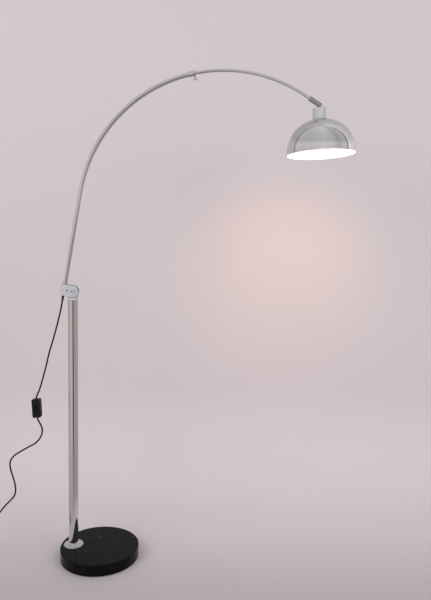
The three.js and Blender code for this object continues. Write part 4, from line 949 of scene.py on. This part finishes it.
# The glass casts no shadow, so that the light inside it gets out.
bulb.visible_shadow = False
glow_data = bpy.data.lights.new("bulb_light", "POINT")
glow_data.color = (1.0, 0.86, 0.66)
glow_data.energy = 1.4
glow_data.shadow_soft_size = 0.028
glow = bpy.data.objects.new("bulb_light", glow_data)
glow.location = placed([0, 0, GLOBE], KNUCKLE, HEAD_LEAN)
bpy.context.scene.collection.objects.link(glow)
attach(glow, "lamp_head")

# A stage light, not part of the lamp: it rides on the head and makes the paper's warm patch.
SPILL_AIM = (-0.05, 0.85, -0.42)
spill_data = bpy.data.lights.new("dome_spill", "SPOT")
spill_data.color = (1.0, 0.42, 0.05)
spill_data.energy = 7.0
spill_data.spot_size = math.radians(76)
spill_data.spot_blend = 1.0
spill_data.shadow_soft_size = 0.06
spill = bpy.data.objects.new("dome_spill", spill_data)
spill_at = placed([0, 0, RIM - 0.015], KNUCKLE, HEAD_LEAN)
aim = Vector(SPILL_AIM).to_track_quat("-Z", "Y").to_matrix().to_4x4()
spill.matrix_world = Matrix.Translation(spill_at) @ aim
bpy.context.scene.collection.objects.link(spill)
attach(spill, "lamp_head")

# ---- fixings and inner parts ---------------------------------------------------------------
# Pieces kept as they come: zinc-plated screws, nuts, bolts and foot plug, brass contacts and pins,
# nylon bushes and washers, the foam pad, the blackened stop screw and the leads inside the arm.
steel = material(
    "zinc_plated_steel", (0.52, 0.52, 0.51), metallic=1.0, marked=(60, 0.26, 0.5),
    uneven=(500, 60, 0.4), depth=0.0001,
)
brass = material(
    "brass", (0.72, 0.53, 0.26), metallic=1.0, marked=(70, 0.2, 0.42), uneven=(500, 50, 0.4),
    depth=0.0001,
)
nylon = material(
    "nylon", (0.72, 0.71, 0.67), marked=(50, 0.4, 0.56), uneven=(400, 40, 0.3), depth=0.0001
)
kept_nodes = {
    foam: ["base_pad"],
    oxide_and_painted_shade: ["stop_screw"],
    steel: [
        "base_washer", "base_bolt", "post_foot_plug", "head_grub_screw", "pivot_nut",
        "tube_grub_screw", "sleeve_grub_screw", "knuckle_pin", "cup_nut",
        "switch_screw_upper", "switch_screw_lower",
    ],
    brass: ["lampholder_contact", "plug_pin_left", "plug_pin_right"],
    nylon: ["friction_washer_front", "friction_washer_rear", "slide_bush", "slide_glide"],
    pvc: ["lower_lead", "upper_lead"],
}
for made, names in kept_nodes.items():
    for name in names:
        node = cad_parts[name]
        node.data.materials.clear()
        node.data.materials.append(made)

# ---- studio --------------------------------------------------------------------------------
# A pale seamless paper sweep: floor, curve and wall in one sheet, with painted shade making it darker
# in front than behind. It is clear from behind and fades out in front. The chrome mirrors only the part by
# the lamp's foot.
bend = np.linspace(0, math.pi / 2, 24)
SWEEP_RADIUS = 0.45
WALL_AT = 0.85
FLOOR_FRONT, WALL_TOP = -2.4, 4.6
PAPER_LEFT, PAPER_RIGHT = -5.0, 5.6
sheet = np.vstack(
    [
        [(FLOOR_FRONT, 0.0), (-0.35, 0.0)],
        np.stack(
            [
                WALL_AT - SWEEP_RADIUS + SWEEP_RADIUS * np.sin(bend),
                SWEEP_RADIUS - SWEEP_RADIUS * np.cos(bend),
            ],
            axis=1,
        ),
        [(WALL_AT, WALL_TOP)],
    ]
)
sides = np.linspace(PAPER_LEFT, PAPER_RIGHT, 3)
sweep_points = np.stack(
    [
        np.broadcast_to(sides[None, :], (len(sheet), 3)),
        np.broadcast_to(sheet[:, :1], (len(sheet), 3)),
        np.broadcast_to(sheet[:, 1:], (len(sheet), 3)),
    ],
    axis=-1,
)
index = np.arange(len(sheet) * 3).reshape(len(sheet), 3)
quads = np.stack([index[:-1, :-1], index[:-1, 1:], index[1:, 1:], index[1:, :-1]], axis=-1)
sweep_mesh = bpy.data.meshes.new("paper_sweep")
sweep_mesh.from_pydata(sweep_points.reshape(-1, 3).tolist(), [], quads.reshape(-1, 4).tolist())
sweep_mesh.polygons.foreach_set("use_smooth", np.ones(len(sweep_mesh.polygons), bool))
paper_sweep = piece("paper_sweep", sweep_mesh, None)
paper = material(
    "paper", (0.74, 0.685, 0.71), marked=(6, 0.75, 0.95), uneven=(300, 4, 0.5), depth=0.0002,
    sockets={"Specular IOR Level": 0.05},
)
# Painted shade: the paper's front is coloured darker than its back, standing in for less light in front.
PAPER_FRONT_SHADED, PAPER_BACK = (0.475, 0.445, 0.448, 1), (0.70, 0.652, 0.677, 1)
SHADING_FROM, SHADING_TO = -0.45, 0.45
MIRRORED_TO, UNMIRRORED_FROM = 0.28, 0.62
FADE_FROM, FADE_TO = -0.8, -2.2
tree = paper.node_tree
where = tree.nodes["Texture Coordinate"].outputs["Object"]
shader = tree.nodes["Principled BSDF"]
depth_in = joined(tree, "ShaderNodeSeparateXYZ", {0: where}).outputs["Y"]
painted_shading = blended(tree, ramped(tree, depth_in, SHADING_FROM, SHADING_TO), PAPER_FRONT_SHADED, PAPER_BACK)
tree.links.new(painted_shading, shader.inputs["Base Color"])
distance = joined(tree, "ShaderNodeVectorMath", {0: where}, operation="LENGTH").outputs["Value"]
beyond = ramped(tree, distance, MIRRORED_TO, UNMIRRORED_FROM)
is_mirror_ray = tree.nodes.new("ShaderNodeLightPath").outputs["Is Glossy Ray"]
mirrored = maths(tree, "MULTIPLY", is_mirror_ray, beyond)
is_back = tree.nodes.new("ShaderNodeNewGeometry").outputs["Backfacing"]
unseen = maths(tree, "MAXIMUM", is_back, mirrored)
faded = maths(tree, "MAXIMUM", unseen, ramped(tree, depth_in, FADE_FROM, FADE_TO))
clear = tree.nodes.new("ShaderNodeBsdfTransparent").outputs[0]
either = joined(tree, "ShaderNodeMixShader", {0: faded, 1: shader.outputs[0], 2: clear})
tree.links.new(either.outputs[0], tree.nodes["Material Output"].inputs["Surface"])
sweep_mesh.materials.append(paper)

# The room: soft light all round, with the brighter panels and dark gaps that the chrome mirrors.
# It is guessed, and set so that the reflections look right.
world = bpy.data.worlds.new("studio")
bpy.context.scene.world = world
world.use_nodes = True
tree = world.node_tree
room = tree.nodes["Background"]
direction = tree.nodes.new("ShaderNodeTexCoord").outputs["Generated"]
split = joined(tree, "ShaderNodeSeparateXYZ", {0: direction}).outputs
front = maths(tree, "MULTIPLY", split["Y"], -1.0)
bearing = maths(tree, "ARCTAN2", split["X"], front)
share = ramped(tree, bearing, -math.pi, math.pi, "LINEAR")


def grey(level):
    """A grey of one brightness, with a very little less green and blue than red."""
    return (level, level * 0.965, level * 0.975)


def round_room(stops):
    """Colours by bearing in degrees: 0 is behind the camera, and 90 is to the right."""
    return bands(tree, share, [(place / 360 + 0.5, colour) for place, colour in stops])


# Above the horizon.
PANELS = [
    (-180, 0.60), (-124, 0.60), (-113, 0.62), (-110, 0.36), (-105, 0.36), (-102, 0.80),
    (-94, 0.78), (-88, 0.70), (-40, 0.72), (0, 0.78), (34, 0.70), (50, 0.54), (64, 0.62),
    (82, 0.72), (86, 0.36), (91, 0.36), (94, 1.0), (101, 1.05), (105, 0.72), (112, 0.88),
    (126, 0.76), (180, 0.60),
]
around = round_room([(place, grey(level)) for place, level in PANELS])
# Below the horizon: pale boards to the left, a dark stand behind the camera, brown to the right.
BOARDS = [
    (-180, (0.44, 0.41, 0.44)), (-120, (0.40, 0.38, 0.40)), (-100, (0.50, 0.48, 0.47)),
    (-64, (0.52, 0.50, 0.48)), (-4, (0.60, 0.58, 0.55)), (5, (0.05, 0.038, 0.034)),
    (20, (0.05, 0.038, 0.034)), (29, (0.42, 0.35, 0.325)), (46, (0.40, 0.33, 0.305)),
    (52, (0.54, 0.45, 0.42)), (60, (0.42, 0.355, 0.33)), (100, (0.42, 0.355, 0.335)),
    (120, (0.44, 0.40, 0.40)), (180, (0.44, 0.41, 0.44)),
]
# Lower still the stand is out of sight, and the bare floor runs from grey to brown.
BARE = [
    (-180, (0.42, 0.39, 0.40)), (-20, (0.46, 0.43, 0.42)), (6, (0.36, 0.32, 0.30)),
    (60, (0.37, 0.315, 0.29)), (180, (0.42, 0.39, 0.40)),
]
BARE_FROM, BARE_TO = -0.30, -0.40
HORIZON_LOW, HORIZON_HIGH = -0.10, 0.04
lowering = ramped(tree, split["Z"], BARE_FROM, BARE_TO, "LINEAR")
under = blended(tree, lowering, round_room(BOARDS), round_room(BARE))
rising = ramped(tree, split["Z"], -1.0, 1.0, "LINEAR")
HEIGHTS = [(0.0, 0.78), (0.40, 0.95), (0.47, 1.0), (0.51, 0.84), (0.58, 0.86), (0.63, 0.95),
           (0.68, 0.80), (0.75, 0.70), (0.93, 0.76), (1.0, 0.90)]
upward = bands(tree, rising, [(place, (level,) * 3) for place, level in HEIGHTS])
horizon = ramped(tree, split["Z"], HORIZON_LOW, HORIZON_HIGH)
room_side = blended(tree, horizon, under, around)
lit_room = blended(tree, 1.0, room_side, upward, "MULTIPLY")
# Looked at straight, the room is as plain and pale as the paper.
PLAIN = (0.60, 0.53, 0.56, 1)
is_camera_ray = tree.nodes.new("ShaderNodeLightPath").outputs["Is Camera Ray"]
tree.links.new(blended(tree, is_camera_ray, lit_room, PLAIN), room.inputs["Color"])
room.inputs["Strength"].default_value = 1.0


def softbox(name, at, towards, size, energy, colour):
    """A large square lamp that the chrome doesn't mirror."""
    data = bpy.data.lights.new(name, "AREA")
    data.size = size
    data.energy = energy
    data.color = colour
    box = bpy.data.objects.new(name, data)
    aim = (Vector(towards) - Vector(at)).to_track_quat("-Z", "Y").to_matrix().to_4x4()
    box.matrix_world = Matrix.Translation(at) @ aim
    box.visible_glossy = False
    bpy.context.scene.collection.objects.link(box)


softbox("softbox_left", (-1.7, -2.2, 2.5), (0.2, 0.8, 1.6), 2.2, 43, (1.0, 0.985, 1.0))
softbox("softbox_right", (2.6, -2.2, 2.5), (0.6, 0.8, 1.6), 2.2, 38, (1.0, 0.98, 0.995))
